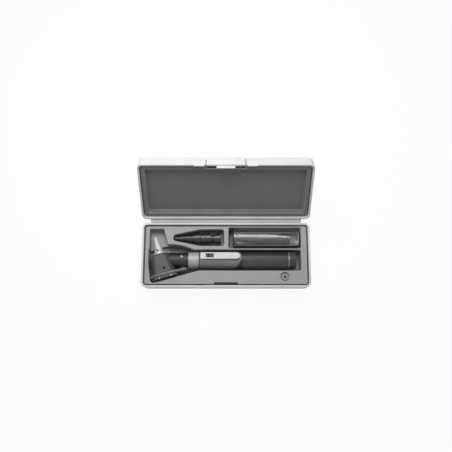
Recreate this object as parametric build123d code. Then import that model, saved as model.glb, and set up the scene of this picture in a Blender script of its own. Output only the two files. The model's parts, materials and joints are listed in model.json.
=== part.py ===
"""Otoscope carry case: a moulded hinged case with its otoscope, tips, tip tube and spare bulb.

Millimetres, +Z up. The origin is the centre of the base's bottom face, +X is to the right along
the case and +Y points at the hinge. The case stands open, its lid resting on the hinge's stop.
"""

import math
import os

from build123d import *

# ---------------------------------------------------------------- case
CASE_LENGTH = 200.0
CASE_DEPTH = 77.0
CASE_CORNER_RADIUS = 6.0
CASE_EDGE_RADIUS = 2.0
BASE_HEIGHT = 26.0
LID_HEIGHT = 17.0
CASE_WALL = 2.2
CASE_DRAFT = 2.0
RIM_ROUNDING = 0.4
PARTING_GAP = 0.2

# ---------------------------------------------------------------- double hinge
STRAP_INSET = 10.0
STRAP_THICKNESS = 1.2
HINGE_SPACING = 4.5
HINGE_OFFSET = 1.0
LID_OPEN_ANGLE = 129.0
FLANGE_HEIGHT = 4.0
HINGE_CLEARANCE = 0.05

# ---------------------------------------------------------------- latch and rim lugs
TONGUE_WIDTH = 44.0
TONGUE_HEIGHT = 12.5
TONGUE_SLIT = 0.8
TONGUE_ROOT_GAP = 0.2
LIP_WIDTH = 21.0
LIP_REACH = 3.0
LIP_THICKNESS = 1.2
LIP_CLEARANCE = 0.15
BEAD_RADIUS = 0.4
LUG_WIDTH = 11.0
LUG_HEIGHT = 1.5
LUG_SPACING = 60.0
LUG_CLEARANCE = 0.5

# ---------------------------------------------------------------- tray and lid liner
TRAY_TOP = 23.5
TRAY_GAP = 1.4
TRAY_SHEET = 1.2
TRAY_EDGE_RADIUS = 0.6
TRAY_NOTCH_WIDTH = 27.8
TRAY_NOTCH_DEPTH = 3.7
TRAY_NOTCH_HEIGHT = 11.5
POCKET_DRAFT = 4.0
POCKET_LIP = 0.6
POCKET_CORNER_RADIUS = 1.6
POCKET_COLLAR_HEIGHT = 3.0
HEAD_POCKET_MARGIN = 12.5
HEAD_POCKET_CORNER = 4.0
HEAD_POCKET_GAP = 2.4
HANDLE_POCKET_REAR_GAP = 2.0
HANDLE_POCKET_FRONT_GAP = 3.0
HANDLE_POCKET_END_GAP = 1.6
NOSE_POCKET_TOP = 29.0
NOSE_POCKET_TOP_WIDTH = 16.7
NOSE_POCKET_SLANT = 5.6
NECK_POCKET_START = (5.0, 9.8)
NECK_POCKET_MIDDLE = (25.8, 9.0)
TIPS_POCKET_END_GAP = 3.5
TIPS_POCKET_SIDE_GAP = 3.2
TIPS_POCKET_NOSE_GAP = 1.7
TIPS_POCKET_NOSE_WIDTH = 6.8
TIPS_POCKET_CORNER = 3.0
TUBE_POCKET_END_GAP = 1.8
TUBE_POCKET_SIDE_GAP = 1.2
TUBE_POCKET_CORNER = 2.2
DECK_SEAM_SETBACK = 8.2
POCKET_SEAM_REACH = 13.7
LINER_SETBACK = 1.8
LINER_GAP = 1.2
LINER_FLANGE = 4.5
LINER_RECESS = 6.0
LINER_SHEET = 1.0
LINER_CORNER_RADIUS = 3.0
LINER_NOTCH_DEPTH = 2.5
SEAT_GAP = 0.3

# ---------------------------------------------------------------- otoscope handle
HANDLE_Y = -5.7
HANDLE_RADIUS = 10.0
SLEEVE_WALL = 1.0
BATTERY_RADIUS = 7.1
SPRING_SPACE = 0.6
BATTERY_GAP = 0.1
BATTERY_NUB_RADIUS = 2.75
BATTERY_NUB_LENGTH = 1.0
BATTERY_CHAMFER = 0.4
HANDLE_TUBE_BORE = 7.6
FIT = 0.05
COLLAR_LENGTH = 13.1
COLLAR_RADIUS = 9.65
COLLAR_BORE = 7.55
COLLAR_THREAD_DEPTH = 8.7
COLLAR_CHAMFER = 0.4
SPIGOT_LENGTH = 3.4
CONTACT_BORE = 4.8
CONTACT_PIN_RADIUS = 1.2
CONTACT_HEAD = 0.5
SLEEVE_GAP = 0.3
SLEEVE_LONG_LENGTH = 49.4
SLEEVE_SHORT_LENGTH = 34.0
BATTERY_SETBACK = 5.1
RING_WIDTH = 1.0
RING_STAND = 0.15
GASKET_THICKNESS = 0.3
CAP_LENGTH = 7.7
CAP_END_MARGIN = 17.0
CAP_END_WALL = 2.2
CAP_CHAMFER = 0.9
CAP_FLUTE_DEPTH = 0.3
CAP_THREAD_LENGTH = 4.8
CAP_FLUTES = 24
CAP_THREAD_PITCH = 1.0
CAP_THREAD_TURNS = 4.5
SPRING_WIRE_RADIUS = 0.45
SPRING_RADIUS = 4.6
SPRING_TURNS = 3
SPRING_SEAT_THICKNESS = 0.5
FLUTE_PITCH_ANGLE = 14.0
FLUTE_COUNT = 22
FLUTE_ROLL = 224.0
FLUTE_RADIUS = 0.75
FLUTE_DEPTH = 0.45
FLUTE_START_MARGIN = 2.4
FLUTE_END_MARGIN = 1.5

# ---------------------------------------------------------------- clip and switch
CLIP_ROLL = 20.0
CLIP_SETBACK = 1.1
CLIP_LENGTH = 47.1
CLIP_WIDTH = 8.9
CLIP_THICKNESS = 1.4
CLIP_STANDOFF = 0.8
CLIP_FOOT_LENGTH = 5.0
CLIP_DIMPLE_RADIUS = 1.6
CLIP_DIMPLE_INSET = 4.0
CLIP_EDGE = 0.4
SWITCH_WINDOW_SETBACK = 6.3
SWITCH_WINDOW_LENGTH = 9.6
SWITCH_WINDOW_WIDTH = 5.4
SLIDER_TRAVEL = 4.0
SLIDER_GAP = 0.2
SLIDER_RECESS = 0.3
SWITCH_FRAME_WALL = 0.8
SLIDER_RIBS = 4
STEM_WIDTH = 2.0

# ---------------------------------------------------------------- otoscope head
AXIS_Z = 18.0
HEAD_END_MARGIN = 20.2
HEAD_TO_COLLAR = 35.1
HEAD_Y = 2.6
HEAD_TILT = 15.5
RING_RADIUS = 8.0
RING_HEIGHT = 1.5
HEAD_NECK_RADIUS = 8.6
HEAD_SHOULDER_RADIUS = 13.0
HEAD_SHOULDER_DROP = 8.0
HEAD_BACK_RADIUS = 14.4
HEAD_DEPTH = 24.8
HEAD_THICKNESS = 23.0
HEAD_WALL = 2.0
TUNNEL_BACK_RADIUS = 10.5
NECK_RADIUS = 8.9
NECK_GAP = 0.2
NOSE_LENGTH = 20.4
NOSE_BASE_RADIUS = 5.8
NOSE_TIP_RADIUS = 2.4
NOSE_WALL = 0.6
BAYONET_WIDTH = 1.4
BAYONET_LENGTH = 4.2
BAYONET_OFFSET = 0.8
BAYONET_HEIGHT = 3.6
BAYONET_SLANT = 30.0
GUIDE_RADIUS = 0.6
GUIDE_BEND_W = 6.4
GUIDE_BEND_RADIUS = 5.0
GUIDE_TIP_W = 0.5
PORT_SETBACK = 7.6
PORT_ROLL = 17.0
PORT_RADIUS = 1.6
PORT_HEIGHT = 2.6
PORT_BORE = 0.7
PORT_BARB_RADIUS = 1.35
PORT_SOCKET = 2.0
THREAD_RADIUS = 7.45
COUPLING_SOCKET = 5.3
LAMP_SETBACK = 0.9
SCREW_W = 1.9
SCREW_N = -20.3
SCREW_RADIUS = 1.4
SCREW_DEPTH = 1.6

# ---------------------------------------------------------------- viewing window
WINDOW_GAP = 0.4
FRAME_THICKNESS = 2.8
FRAME_LEFT = 16.5
FRAME_LENGTH = 34.0
FRAME_HEIGHT = 23.0
FRAME_CORNER_RADIUS = 10.0
PIVOT_W = 23.0
TAB_RADIUS = 5.0
LENS_THICKNESS = 2.3
LENS_GROOVE = 0.5
LENS_INSET = 1.6
WINDOW_APERTURE_RADIUS = 9.5
PIVOT_RADIUS = 1.5
PIVOT_DEPTH = 4.0
PIVOT_HEAD = 0.6
BOSS_RADIUS = 4.2
FRAME_CHAMFER = 0.6

# ---------------------------------------------------------------- bulbs
BULB_FLANGE_RADIUS = 3.9
BULB_FLANGE_THICKNESS = 1.2
BULB_CAN_RADIUS = 3.0
BULB_CAN_LENGTH = 8.0
BULB_GLASS_RADIUS = 2.3
BULB_GLASS_LENGTH = 6.0
BULB_CONTACT_RADIUS = 1.3
BULB_CONTACT_DEPTH = 0.6
BULB_FIT = 0.1
BULB_END_MARGIN = 30.4
BULB_HOLE_Y = -26.0
BULB_HOLE_RADIUS = 5.45
BULB_HOLE_DEPTH = 2.5
BULB_SEAT_RADIUS = 3.4
BULB_WELL_DEPTH = 18.5

# ---------------------------------------------------------------- reusable tips
TIP_LENGTH = 30.3
TIP_CONE_RADIUS = 5.5
TIP_CONE_LENGTH = 24.0
TIP_COLLAR_RADIUS = 6.5
TIP_FLANGE_RADIUS = 6.9
TIP_FLANGE_THICKNESS = 1.0
TIP_WALL = 0.7
TIP_NOSE_WALL = 0.6
TIP_APERTURES = (4.0, 3.4, 2.8, 2.4)
TIP_STEPS = (6.9, 6.3, 11.8)
TIPS_END_MARGIN = 38.9
TIPS_Y = 20.9
TIPS_FLOOR = 10.3

# ---------------------------------------------------------------- tube of disposable tips
TUBE_TIPS_GAP = 14.0
TUBE_END_MARGIN = 12.4
TUBE_RADIUS = 11.6
TUBE_WALL = 1.0
TUBE_Y = 20.6
TUBE_FLOOR = 4.2
PLUG_FLANGE = 1.4
PLUG_DEPTH = 3.2
PLUG_PULL = 3.4
DISPOSABLE_SETBACK = 5.2
DISPOSABLE_PLAY = 8.0
DISPOSABLE_LENGTH = 34.0
DISPOSABLE_PITCH = 3.3
DISPOSABLE_NOSE_RADIUS = 2.2
DISPOSABLE_CONE_RADIUS = 6.2
DISPOSABLE_FLANGE_RADIUS = 7.4
DISPOSABLE_WALL = 0.3
DISPOSABLE_REST = 0.3

# ---------------------------------------------------------------- derived places
HALF_LENGTH = CASE_LENGTH / 2
HALF_DEPTH = CASE_DEPTH / 2
STRAP_LENGTH = CASE_LENGTH - 2 * STRAP_INSET
HINGE_Y = HALF_DEPTH + HINGE_OFFSET
LOWER_HINGE = (0, HINGE_Y, BASE_HEIGHT - HINGE_SPACING / 2)
UPPER_HINGE = (0, HINGE_Y, BASE_HEIGHT + HINGE_SPACING / 2)
HALF_ANGLE = LID_OPEN_ANGLE / 2
HEAD_X = -HALF_LENGTH + HEAD_END_MARGIN
COLLAR_LEFT = HEAD_X + HEAD_TO_COLLAR
COLLAR_RIGHT = COLLAR_LEFT + COLLAR_LENGTH
PORT_X = COLLAR_LEFT - PORT_SETBACK
SLEEVE_LEFT = COLLAR_RIGHT + SLEEVE_GAP
SLEEVE_LONG_END = SLEEVE_LEFT + SLEEVE_LONG_LENGTH
SLEEVE_SHORT_END = SLEEVE_LEFT + SLEEVE_SHORT_LENGTH
FLUTE_START = SLEEVE_LONG_END + FLUTE_START_MARGIN
CLIP_LEFT = SLEEVE_LEFT + CLIP_SETBACK
CLIP_RIGHT = CLIP_LEFT + CLIP_LENGTH
CLIP_BASE = HANDLE_RADIUS + CLIP_STANDOFF
SWITCH_WINDOW_LEFT = CLIP_LEFT + SWITCH_WINDOW_SETBACK
CAP_RIGHT = HALF_LENGTH - CAP_END_MARGIN
CAP_LEFT = CAP_RIGHT - CAP_LENGTH
CAP_TRAVEL = CAP_THREAD_PITCH * CAP_THREAD_TURNS
RING_LEFT = CAP_LEFT - GASKET_THICKNESS - RING_WIDTH
BATTERY_LEFT = SLEEVE_LEFT + BATTERY_SETBACK
BATTERY_RIGHT = CAP_LEFT - SPRING_SPACE
BATTERY_LENGTH = (BATTERY_RIGHT - BATTERY_LEFT - BATTERY_GAP) / 2
TUBE_OUTER = HANDLE_RADIUS - SLEEVE_WALL - FIT
TIPS_LEFT = -HALF_LENGTH + TIPS_END_MARGIN
TIPS_RIGHT = TIPS_LEFT + TIP_LENGTH + sum(TIP_STEPS)
TUBE_LEFT = TIPS_RIGHT + TUBE_TIPS_GAP
TUBE_RIGHT = HALF_LENGTH - TUBE_END_MARGIN
DISPOSABLE_LEFT = TUBE_LEFT + DISPOSABLE_SETBACK
DISPOSABLE_SPACE = TUBE_RIGHT - TUBE_WALL - DISPOSABLE_PLAY - DISPOSABLE_LENGTH - DISPOSABLE_LEFT
DISPOSABLE_COUNT = 1 + max(int(DISPOSABLE_SPACE / DISPOSABLE_PITCH), 0)
BULB_HOLE_X = HALF_LENGTH - BULB_END_MARGIN
HEAD_FLOOR = AXIS_Z - HEAD_THICKNESS / 2 - SEAT_GAP
NOSE_FLOOR = AXIS_Z - NOSE_BASE_RADIUS - SEAT_GAP

# The handle's own frame: its Z runs to the right along the handle, from the case's centre plane.
HANDLE = Plane(origin=(0, HANDLE_Y, AXIS_Z), x_dir=(0, 0, 1), z_dir=(1, 0, 0))
# The head's own frame: its Z is the line of sight, out through the nose.
TILT = math.radians(HEAD_TILT)
SIGHT = (-math.sin(TILT), math.cos(TILT), 0)
ACROSS = (math.cos(TILT), math.sin(TILT), 0)
HEAD = Plane(origin=(HEAD_X, HEAD_Y, AXIS_Z), x_dir=ACROSS, z_dir=SIGHT)


# ---------------------------------------------------------------- helpers
def turned(points):
    """Solid of revolution about Z of a closed outline of (radius, height) points."""
    outline = Polyline(*[(radius, 0, height) for radius, height in points], close=True)
    return revolve(make_face(outline), Axis.Z, 360)


def rod(radius, bottom, top):
    """Cylinder along Z from bottom to top."""
    return Pos(0, 0, bottom) * Cylinder(
        radius, top - bottom, align=(Align.CENTER, Align.CENTER, Align.MIN)
    )


def pipe(outer, inner, bottom, top):
    """Round tube along Z."""
    return rod(outer, bottom, top) - rod(inner, bottom, top)


def block(x_range, y_range, z_range):
    """Box between two corners."""
    sizes = [high - low for low, high in (x_range, y_range, z_range)]
    centre = [(high + low) / 2 for low, high in (x_range, y_range, z_range)]
    return Pos(*centre) * Box(*sizes)


def sunk(sketch, top, depth, draft):
    """Sketch at height top, carried down by depth with walls that close in by the draft."""
    return extrude(Pos(0, 0, top) * sketch, amount=-depth, taper=draft)


def on_handle(shape):
    """Carry a shape made about Z onto the handle's axis."""
    return HANDLE * shape


def rolled(shape, roll):
    """Carry a shape made on the handle's top side round the handle by a roll angle."""
    return on_handle(Rot(0, 0, -roll) * shape)


def on_head(shape):
    """Carry a shape made about Z onto the head's line of sight."""
    return HEAD * shape


def lid_open(shape):
    """Carry a piece of the closed lid over the double hinge to its open place."""
    upper = Pos(*UPPER_HINGE) * Rot(-HALF_ANGLE, 0, 0) * Pos(*[-value for value in UPPER_HINGE])
    return strap_open(upper * shape)


def strap_open(shape):
    """Carry the closed strap about the lower hinge line to its open place."""
    return Pos(*LOWER_HINGE) * Rot(-HALF_ANGLE, 0, 0) * Pos(*[-value for value in LOWER_HINGE]) * shape


# ---------------------------------------------------------------- case shells
def case_block(height, inset, rim_cut=0.0):
    """Half of the case as a solid: rim at z = 0, closing in downwards, inset all round."""
    drop = math.tan(math.radians(CASE_DRAFT)) * rim_cut
    margin = 2 * (inset + drop)
    outline = RectangleRounded(
        CASE_LENGTH - margin, CASE_DEPTH - margin, max(CASE_CORNER_RADIUS - inset - drop, 1.0)
    )
    return sunk(outline, -rim_cut, height - rim_cut, CASE_DRAFT)


def case_shell(height):
    """Open half shell with its rim at z = 0 and its closed face below."""
    outer = case_block(height, 0)
    outer = fillet(outer.edges().group_by(Axis.Z)[0], CASE_EDGE_RADIUS)
    shell = outer - case_block(height - CASE_WALL, CASE_WALL)
    return fillet(shell.edges().group_by(Axis.Z)[-1], RIM_ROUNDING)


def hinge_flange(side):
    """Rib behind a shell's rear wall that reaches the hinge line; side is +1 above it, -1 below."""
    line = UPPER_HINGE if side > 0 else LOWER_HINGE
    reach = STRAP_THICKNESS / 2 + HINGE_CLEARANCE
    near = line[2] + side * reach
    heights = sorted((near, near + side * FLANGE_HEIGHT))
    return block(
        (-STRAP_LENGTH / 2, STRAP_LENGTH / 2),
        (HALF_DEPTH - CASE_WALL, HINGE_Y + STRAP_THICKNESS / 2),
        heights,
    )


def lug_positions():
    return (-LUG_SPACING / 2, LUG_SPACING / 2)


def base_shell():
    """Lower half of the case."""
    shell = Pos(0, 0, BASE_HEIGHT) * case_shell(BASE_HEIGHT)
    cavity = Pos(0, 0, BASE_HEIGHT) * case_block(BASE_HEIGHT - CASE_WALL, CASE_WALL)
    shell += hinge_flange(-1) - cavity
    front = (-HALF_DEPTH - 1, -HALF_DEPTH + CASE_WALL + 1)
    for x in lug_positions():
        half = (LUG_WIDTH + LUG_CLEARANCE) / 2
        notch = (BASE_HEIGHT - LUG_HEIGHT - LUG_CLEARANCE / 2, BASE_HEIGHT + 1)
        shell -= block((x - half, x + half), front, notch)
    groove_radius = BEAD_RADIUS + LIP_CLEARANCE
    groove = Pos(0, bead_y(), bead_z()) * Rot(0, 90, 0) * Cylinder(
        groove_radius, LIP_WIDTH + 2 * LIP_CLEARANCE
    )
    return shell - groove


def bead_y():
    """Place of the latch bead across the case when the lid is shut."""
    return -HALF_DEPTH + CASE_WALL + LIP_CLEARANCE + BEAD_RADIUS / 2


def bead_z():
    """Height of the latch bead when the lid is shut."""
    return BASE_HEIGHT + PARTING_GAP - LIP_REACH + 2 * BEAD_RADIUS


def closed_lid(shape):
    """Turn a half shell made rim-up over to its closed place on the base."""
    return Pos(0, 0, BASE_HEIGHT + PARTING_GAP) * Rot(180, 0, 0) * shape


def front_wall_band(height, gap):
    """The part of the closed lid's front wall that the latch tongue is cut from."""
    half = TONGUE_WIDTH / 2 + gap
    wall = (-HALF_DEPTH - 1, -HALF_DEPTH + CASE_WALL + 1)
    return block((-half, half), wall, (BASE_HEIGHT, BASE_HEIGHT + height))


def lid_wall():
    """The closed lid's wall without its top, for cutting the tongue to the wall's own shape."""
    return closed_lid(case_block(LID_HEIGHT, 0) - case_block(LID_HEIGHT, CASE_WALL))


def lid_shell():
    """Upper half of the case, in its closed place."""
    shell = closed_lid(case_shell(LID_HEIGHT))
    cavity = closed_lid(case_block(LID_HEIGHT - CASE_WALL, CASE_WALL))
    shell += hinge_flange(1) - cavity
    rim = BASE_HEIGHT + PARTING_GAP
    for x in lug_positions():
        shell += block(
            (x - LUG_WIDTH / 2, x + LUG_WIDTH / 2),
            (-HALF_DEPTH + RIM_ROUNDING, -HALF_DEPTH + CASE_WALL - RIM_ROUNDING),
            (rim - LUG_HEIGHT, rim + RIM_ROUNDING),
        )
    return shell - front_wall_band(TONGUE_HEIGHT + TONGUE_ROOT_GAP, TONGUE_SLIT)


def latch_tongue():
    """Springy piece of the lid's front wall with the lip and bead that hold the base."""
    tongue = lid_wall() & front_wall_band(TONGUE_HEIGHT, 0)
    rim = BASE_HEIGHT + PARTING_GAP
    inner = -HALF_DEPTH + CASE_WALL
    face = inner + LIP_CLEARANCE
    half = LIP_WIDTH / 2
    tongue += block((-half, half), (inner - 0.5 * CASE_WALL, face + LIP_THICKNESS), (rim, rim + LIP_REACH))
    tongue += block((-half, half), (face, face + LIP_THICKNESS), (rim - LIP_REACH, rim + LIP_REACH))
    bead_length = LIP_WIDTH - 2 * LIP_CLEARANCE
    tongue += Pos(0, bead_y(), bead_z()) * Rot(0, 90, 0) * Cylinder(BEAD_RADIUS, bead_length)
    return tongue


def hinge_strap():
    """Thin strip with rounded edges centred on both hinge lines, in its closed place."""
    profile = Plane.YZ * Rot(0, 0, 90) * SlotCenterToCenter(HINGE_SPACING, STRAP_THICKNESS)
    middle = (UPPER_HINGE[2] + LOWER_HINGE[2]) / 2
    return Pos(0, HINGE_Y, middle) * extrude(profile, STRAP_LENGTH / 2, both=True)


# ---------------------------------------------------------------- tray
def head_point(across, along):
    """Plan place of a point given across and along the head's line of sight."""
    return (
        HEAD_X + across * math.cos(TILT) - along * math.sin(TILT),
        HEAD_Y + across * math.sin(TILT) + along * math.cos(TILT),
    )


def head_pocket_outline():
    """Outline of the deep pocket round the otoscope's head, neck and handle."""
    left = HEAD_X - HEAD_POCKET_MARGIN
    right = CAP_RIGHT + CAP_TRAVEL + HANDLE_POCKET_END_GAP
    upper = HANDLE_Y + HANDLE_RADIUS + HANDLE_POCKET_REAR_GAP
    lower = HANDLE_Y - HANDLE_RADIUS - HANDLE_POCKET_FRONT_GAP
    back = HEAD_DEPTH + WINDOW_GAP + FRAME_THICKNESS + LENS_GROOVE + LENS_THICKNESS
    corner = head_point(-FRAME_LEFT - HEAD_POCKET_GAP, -back - HEAD_POCKET_GAP)
    meeting = (corner[0] + (lower - corner[1]) / math.tan(TILT), lower)
    start = (HEAD_X + NECK_POCKET_START[0], HEAD_Y + NECK_POCKET_START[1])
    middle = (HEAD_X + NECK_POCKET_MIDDLE[0], HEAD_Y + NECK_POCKET_MIDDLE[1])
    side = [(left, HEAD_Y + RING_RADIUS / 2), (left, HEAD_Y - HEAD_SHOULDER_RADIUS)]
    arc_end = (COLLAR_LEFT + COLLAR_LENGTH / 2, upper)
    outline = Curve() + [
        Line(start, side[0]),
        Line(side[0], side[1]),
        Line(side[1], corner),
        Line(corner, meeting),
        Line(meeting, (right, lower)),
        Line((right, lower), (right, upper)),
        Line((right, upper), arc_end),
        ThreePointArc(arc_end, middle, start),
    ]
    face = make_face(outline)
    sharp = face.vertices().sort_by(Axis.Y)[0]
    face = fillet(sharp, HEAD_POCKET_CORNER)
    return fillet(face.vertices().group_by(Axis.X)[-1], POCKET_CORNER_RADIUS)


def nose_pocket_outline():
    """Outline of the shallower pocket round the nose, reaching into the deep one."""
    left = HEAD_X - HEAD_POCKET_MARGIN + CASE_WALL / 2
    right = left + NOSE_POCKET_TOP_WIDTH
    top = HEAD_Y + NOSE_POCKET_TOP
    slant = NOSE_POCKET_SLANT * NOSE_POCKET_TOP / (NOSE_POCKET_TOP - NECK_POCKET_START[1])
    face = make_face(Polyline((left, top), (right, top), (right + slant, HEAD_Y), (left, HEAD_Y), close=True))
    return fillet(face.vertices().group_by(Axis.Y)[-1], POCKET_CORNER_RADIUS)


def tips_pocket_outline():
    """Outline of the pocket for the reusable tips: a box with a tapering, rounded nose."""
    right = TIPS_RIGHT + TIPS_POCKET_END_GAP
    shoulder = TIPS_LEFT + TIP_LENGTH
    half = TIP_FLANGE_RADIUS + TIPS_POCKET_SIDE_GAP
    nose = TIPS_LEFT - TIPS_POCKET_NOSE_GAP
    nose_half = TIPS_POCKET_NOSE_WIDTH / 2
    points = [
        (right, TIPS_Y - half), (right, TIPS_Y + half), (shoulder, TIPS_Y + half),
        (nose, TIPS_Y + nose_half), (nose, TIPS_Y - nose_half), (shoulder, TIPS_Y - half),
    ]
    face = make_face(Polyline(*points, close=True))
    return fillet(face.vertices(), TIPS_POCKET_CORNER)


def tube_pocket_outline():
    """Outline of the tube's pocket, with room to draw the stopper."""
    outline = RectangleRounded(
        TUBE_RIGHT - TUBE_LEFT + PLUG_PULL + 2 * TUBE_POCKET_END_GAP,
        2 * (TUBE_RADIUS + TUBE_POCKET_SIDE_GAP), TUBE_POCKET_CORNER,
    )
    return Pos((TUBE_RIGHT + TUBE_LEFT - PLUG_PULL) / 2, TUBE_Y) * outline


def bulb_hole(grow=0.0):
    """Stepped hole for the spare bulb, grown all round."""
    hole = rod(BULB_HOLE_RADIUS + grow, TRAY_TOP - BULB_HOLE_DEPTH - grow, TRAY_TOP)
    hole += rod(BULB_SEAT_RADIUS + grow, TRAY_TOP - BULB_WELL_DEPTH - grow, TRAY_TOP)
    return Pos(BULB_HOLE_X, BULB_HOLE_Y) * hole


def pocket(outline, floor, grow):
    """Cutter from the tray's top down to a floor, grown all round."""
    plan = offset(outline, grow) if grow else outline
    return sunk(plan, TRAY_TOP, TRAY_TOP - floor + grow, POCKET_DRAFT)


def pockets(grow=0.0):
    """Every pocket's cutter by node name, grown by the sheet's thickness when asked."""
    head = pocket(head_pocket_outline(), HEAD_FLOOR, grow)
    return {
        "tray_head_pocket": head + pocket(nose_pocket_outline(), NOSE_FLOOR, grow),
        "tray_tips_pocket": pocket(tips_pocket_outline(), TIPS_FLOOR, grow),
        "tray_tube_pocket": pocket(tube_pocket_outline(), TUBE_FLOOR, grow),
        "tray_bulb_well": bulb_hole(grow),
    }


def latch_notch(grow=0.0):
    """Recess in the tray's front edge behind the latch's lip, grown all round."""
    half = TRAY_NOTCH_WIDTH / 2 + grow
    back = -HALF_DEPTH + CASE_WALL + TRAY_NOTCH_DEPTH + grow
    return block((-half, half), (-HALF_DEPTH, back), (TRAY_TOP - TRAY_NOTCH_HEIGHT - grow, TRAY_TOP))


def whole_tray():
    """Moulded tray: a thin sheet with a soft-edged pocket for each instrument."""
    depth_below_rim = BASE_HEIGHT - TRAY_TOP
    height = BASE_HEIGHT - CASE_WALL
    inset = CASE_WALL + TRAY_GAP
    body = Pos(0, 0, BASE_HEIGHT) * case_block(height, inset, depth_below_rim)
    body = fillet(body.edges().group_by(Axis.Z)[-1], TRAY_EDGE_RADIUS)
    for cutter in pockets().values():
        body -= cutter
    deck = body.faces().sort_by(Axis.Z)[-1]
    body = fillet([edge for wire in deck.inner_wires() for edge in wire.edges()], POCKET_LIP)
    core = Pos(0, 0, BASE_HEIGHT) * case_block(height, inset + TRAY_SHEET, depth_below_rim + TRAY_SHEET)
    for cutter in pockets(TRAY_SHEET).values():
        core -= cutter
    return body - latch_notch() - (core - latch_notch(TRAY_SHEET))


def left_of(x, top):
    """Everything in the base left of a place and below a height, for parting the tray."""
    return block((-HALF_LENGTH, x), (-HALF_DEPTH, HALF_DEPTH), (0, top))


def tray_pieces():
    """The tray by node name: its deck, and below the deck's collars each pocket's walls and floor.

    The deck and the otoscope's pocket are parted once more near the window, and the tube's pocket
    from its floor, so that each node stays close to its collision hulls there.
    """
    rest = whole_tray()
    below = left_of(HALF_LENGTH, TRAY_TOP - POCKET_COLLAR_HEIGHT)
    pieces = {}
    for name, cutter in pockets(TRAY_SHEET).items():
        region = cutter & below
        pieces[name] = rest & region
        rest -= region
    deck_end = left_of(HEAD_X - DECK_SEAM_SETBACK, BASE_HEIGHT)
    pocket_end = left_of(HEAD_X + POCKET_SEAM_REACH, BASE_HEIGHT)
    pieces["tray_handle_pocket"] = pieces["tray_head_pocket"] - pocket_end
    pieces["tray_head_pocket"] &= pocket_end
    floor = pocket(tube_pocket_outline(), TUBE_FLOOR, 0).faces().sort_by(Axis.Z)[0]
    under = extrude(floor, amount=TRAY_SHEET + 1, dir=(0, 0, -1))
    pieces["tray_tube_floor"] = pieces["tray_tube_pocket"] & under
    pieces["tray_tube_pocket"] -= under
    return {"base_tray": rest - deck_end, "tray_deck_end": rest & deck_end, **pieces}


def lid_liner():
    """Moulded panel inside the lid, in its closed place."""
    inset = CASE_WALL + LINER_GAP
    height = LID_HEIGHT - CASE_WALL
    body = case_block(height, inset, LINER_SETBACK)
    body = fillet(body.edges().group_by(Axis.Z)[-1], LINER_SHEET / 2)
    margin = 2 * (inset + LINER_FLANGE)
    outline = RectangleRounded(CASE_LENGTH - margin, CASE_DEPTH - margin, LINER_CORNER_RADIUS)
    recess = sunk(outline, -LINER_SETBACK, LINER_RECESS, POCKET_DRAFT)
    grown = RectangleRounded(
        CASE_LENGTH - margin + 2 * LINER_SHEET, CASE_DEPTH - margin + 2 * LINER_SHEET,
        LINER_CORNER_RADIUS + LINER_SHEET,
    )
    recess_back = sunk(grown, -LINER_SETBACK, LINER_RECESS + LINER_SHEET, POCKET_DRAFT)
    core = case_block(height, inset + LINER_SHEET, LINER_SETBACK + LINER_SHEET)
    liner = closed_lid(body - recess - (core - recess_back))
    half = TONGUE_WIDTH / 2 + TONGUE_SLIT
    front = -HALF_DEPTH + inset
    return liner - block((-half, half), (front - 1, front + LINER_NOTCH_DEPTH),
                         (BASE_HEIGHT, BASE_HEIGHT + LID_HEIGHT))


# ---------------------------------------------------------------- handle
def handle_collar():
    """Metal collar that the head screws into, with a spigot inside the handle tube's end."""
    thread_end = COLLAR_LEFT + COLLAR_THREAD_DEPTH
    body = rod(COLLAR_RADIUS, COLLAR_LEFT, COLLAR_RIGHT)
    body = chamfer(body.edges(), COLLAR_CHAMFER)
    body += rod(TUBE_OUTER, COLLAR_RIGHT, COLLAR_RIGHT + SPIGOT_LENGTH)
    body -= rod(COLLAR_BORE, COLLAR_LEFT - 1, thread_end)
    return on_handle(body - rod(CONTACT_BORE, thread_end - 1, COLLAR_RIGHT + SPIGOT_LENGTH + 1))


def contact_insulator():
    """Stepped plastic bush that holds the lamp's contact pin in the collar."""
    left = COLLAR_LEFT + COLLAR_THREAD_DEPTH
    step = COLLAR_RIGHT + SPIGOT_LENGTH + FIT
    right = BATTERY_LEFT - BATTERY_GAP - CONTACT_HEAD
    bush = rod(CONTACT_BORE - FIT, left, step) + rod(HANDLE_TUBE_BORE - FIT, step, right)
    return on_handle(bush - rod(CONTACT_PIN_RADIUS + FIT, left - 1, right + 1))


def contact_pin():
    """Brass pin from the front cell's contact to the lamp's contact."""
    tip = lamp_face() + BATTERY_GAP
    right = BATTERY_LEFT - BATTERY_GAP
    pin = rod(CONTACT_PIN_RADIUS, tip, right)
    return on_handle(pin + rod(2 * CONTACT_PIN_RADIUS, right - CONTACT_HEAD, right))


def handle_tube():
    """Inner tube that carries the cells, threaded at its right end for the cap."""
    left = COLLAR_RIGHT + SPIGOT_LENGTH + FIT
    tube = pipe(TUBE_OUTER, HANDLE_TUBE_BORE, left, CAP_LEFT + CAP_THREAD_LENGTH)
    return on_handle(tube) - switch_slot()


def sleeve_end(shift):
    """Slanted plane that ends the sleeve, longest under the clip, shifted along the handle."""
    middle = (SLEEVE_LONG_END + SLEEVE_SHORT_END) / 2 + shift
    slope = (SLEEVE_LONG_END - SLEEVE_SHORT_END) / 2 / HANDLE_RADIUS
    return Plane(origin=(0, 0, middle), z_dir=(-slope, 0, 1))


def handle_sleeve():
    """Metal sleeve under the clip, cut off at a slant."""
    sleeve = pipe(HANDLE_RADIUS, HANDLE_RADIUS - SLEEVE_WALL, SLEEVE_LEFT, SLEEVE_LONG_END + 1)
    sleeve = split(sleeve, bisect_by=sleeve_end(0), keep=Keep.BOTTOM)
    return rolled(sleeve, CLIP_ROLL) - switch_slot()


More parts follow.
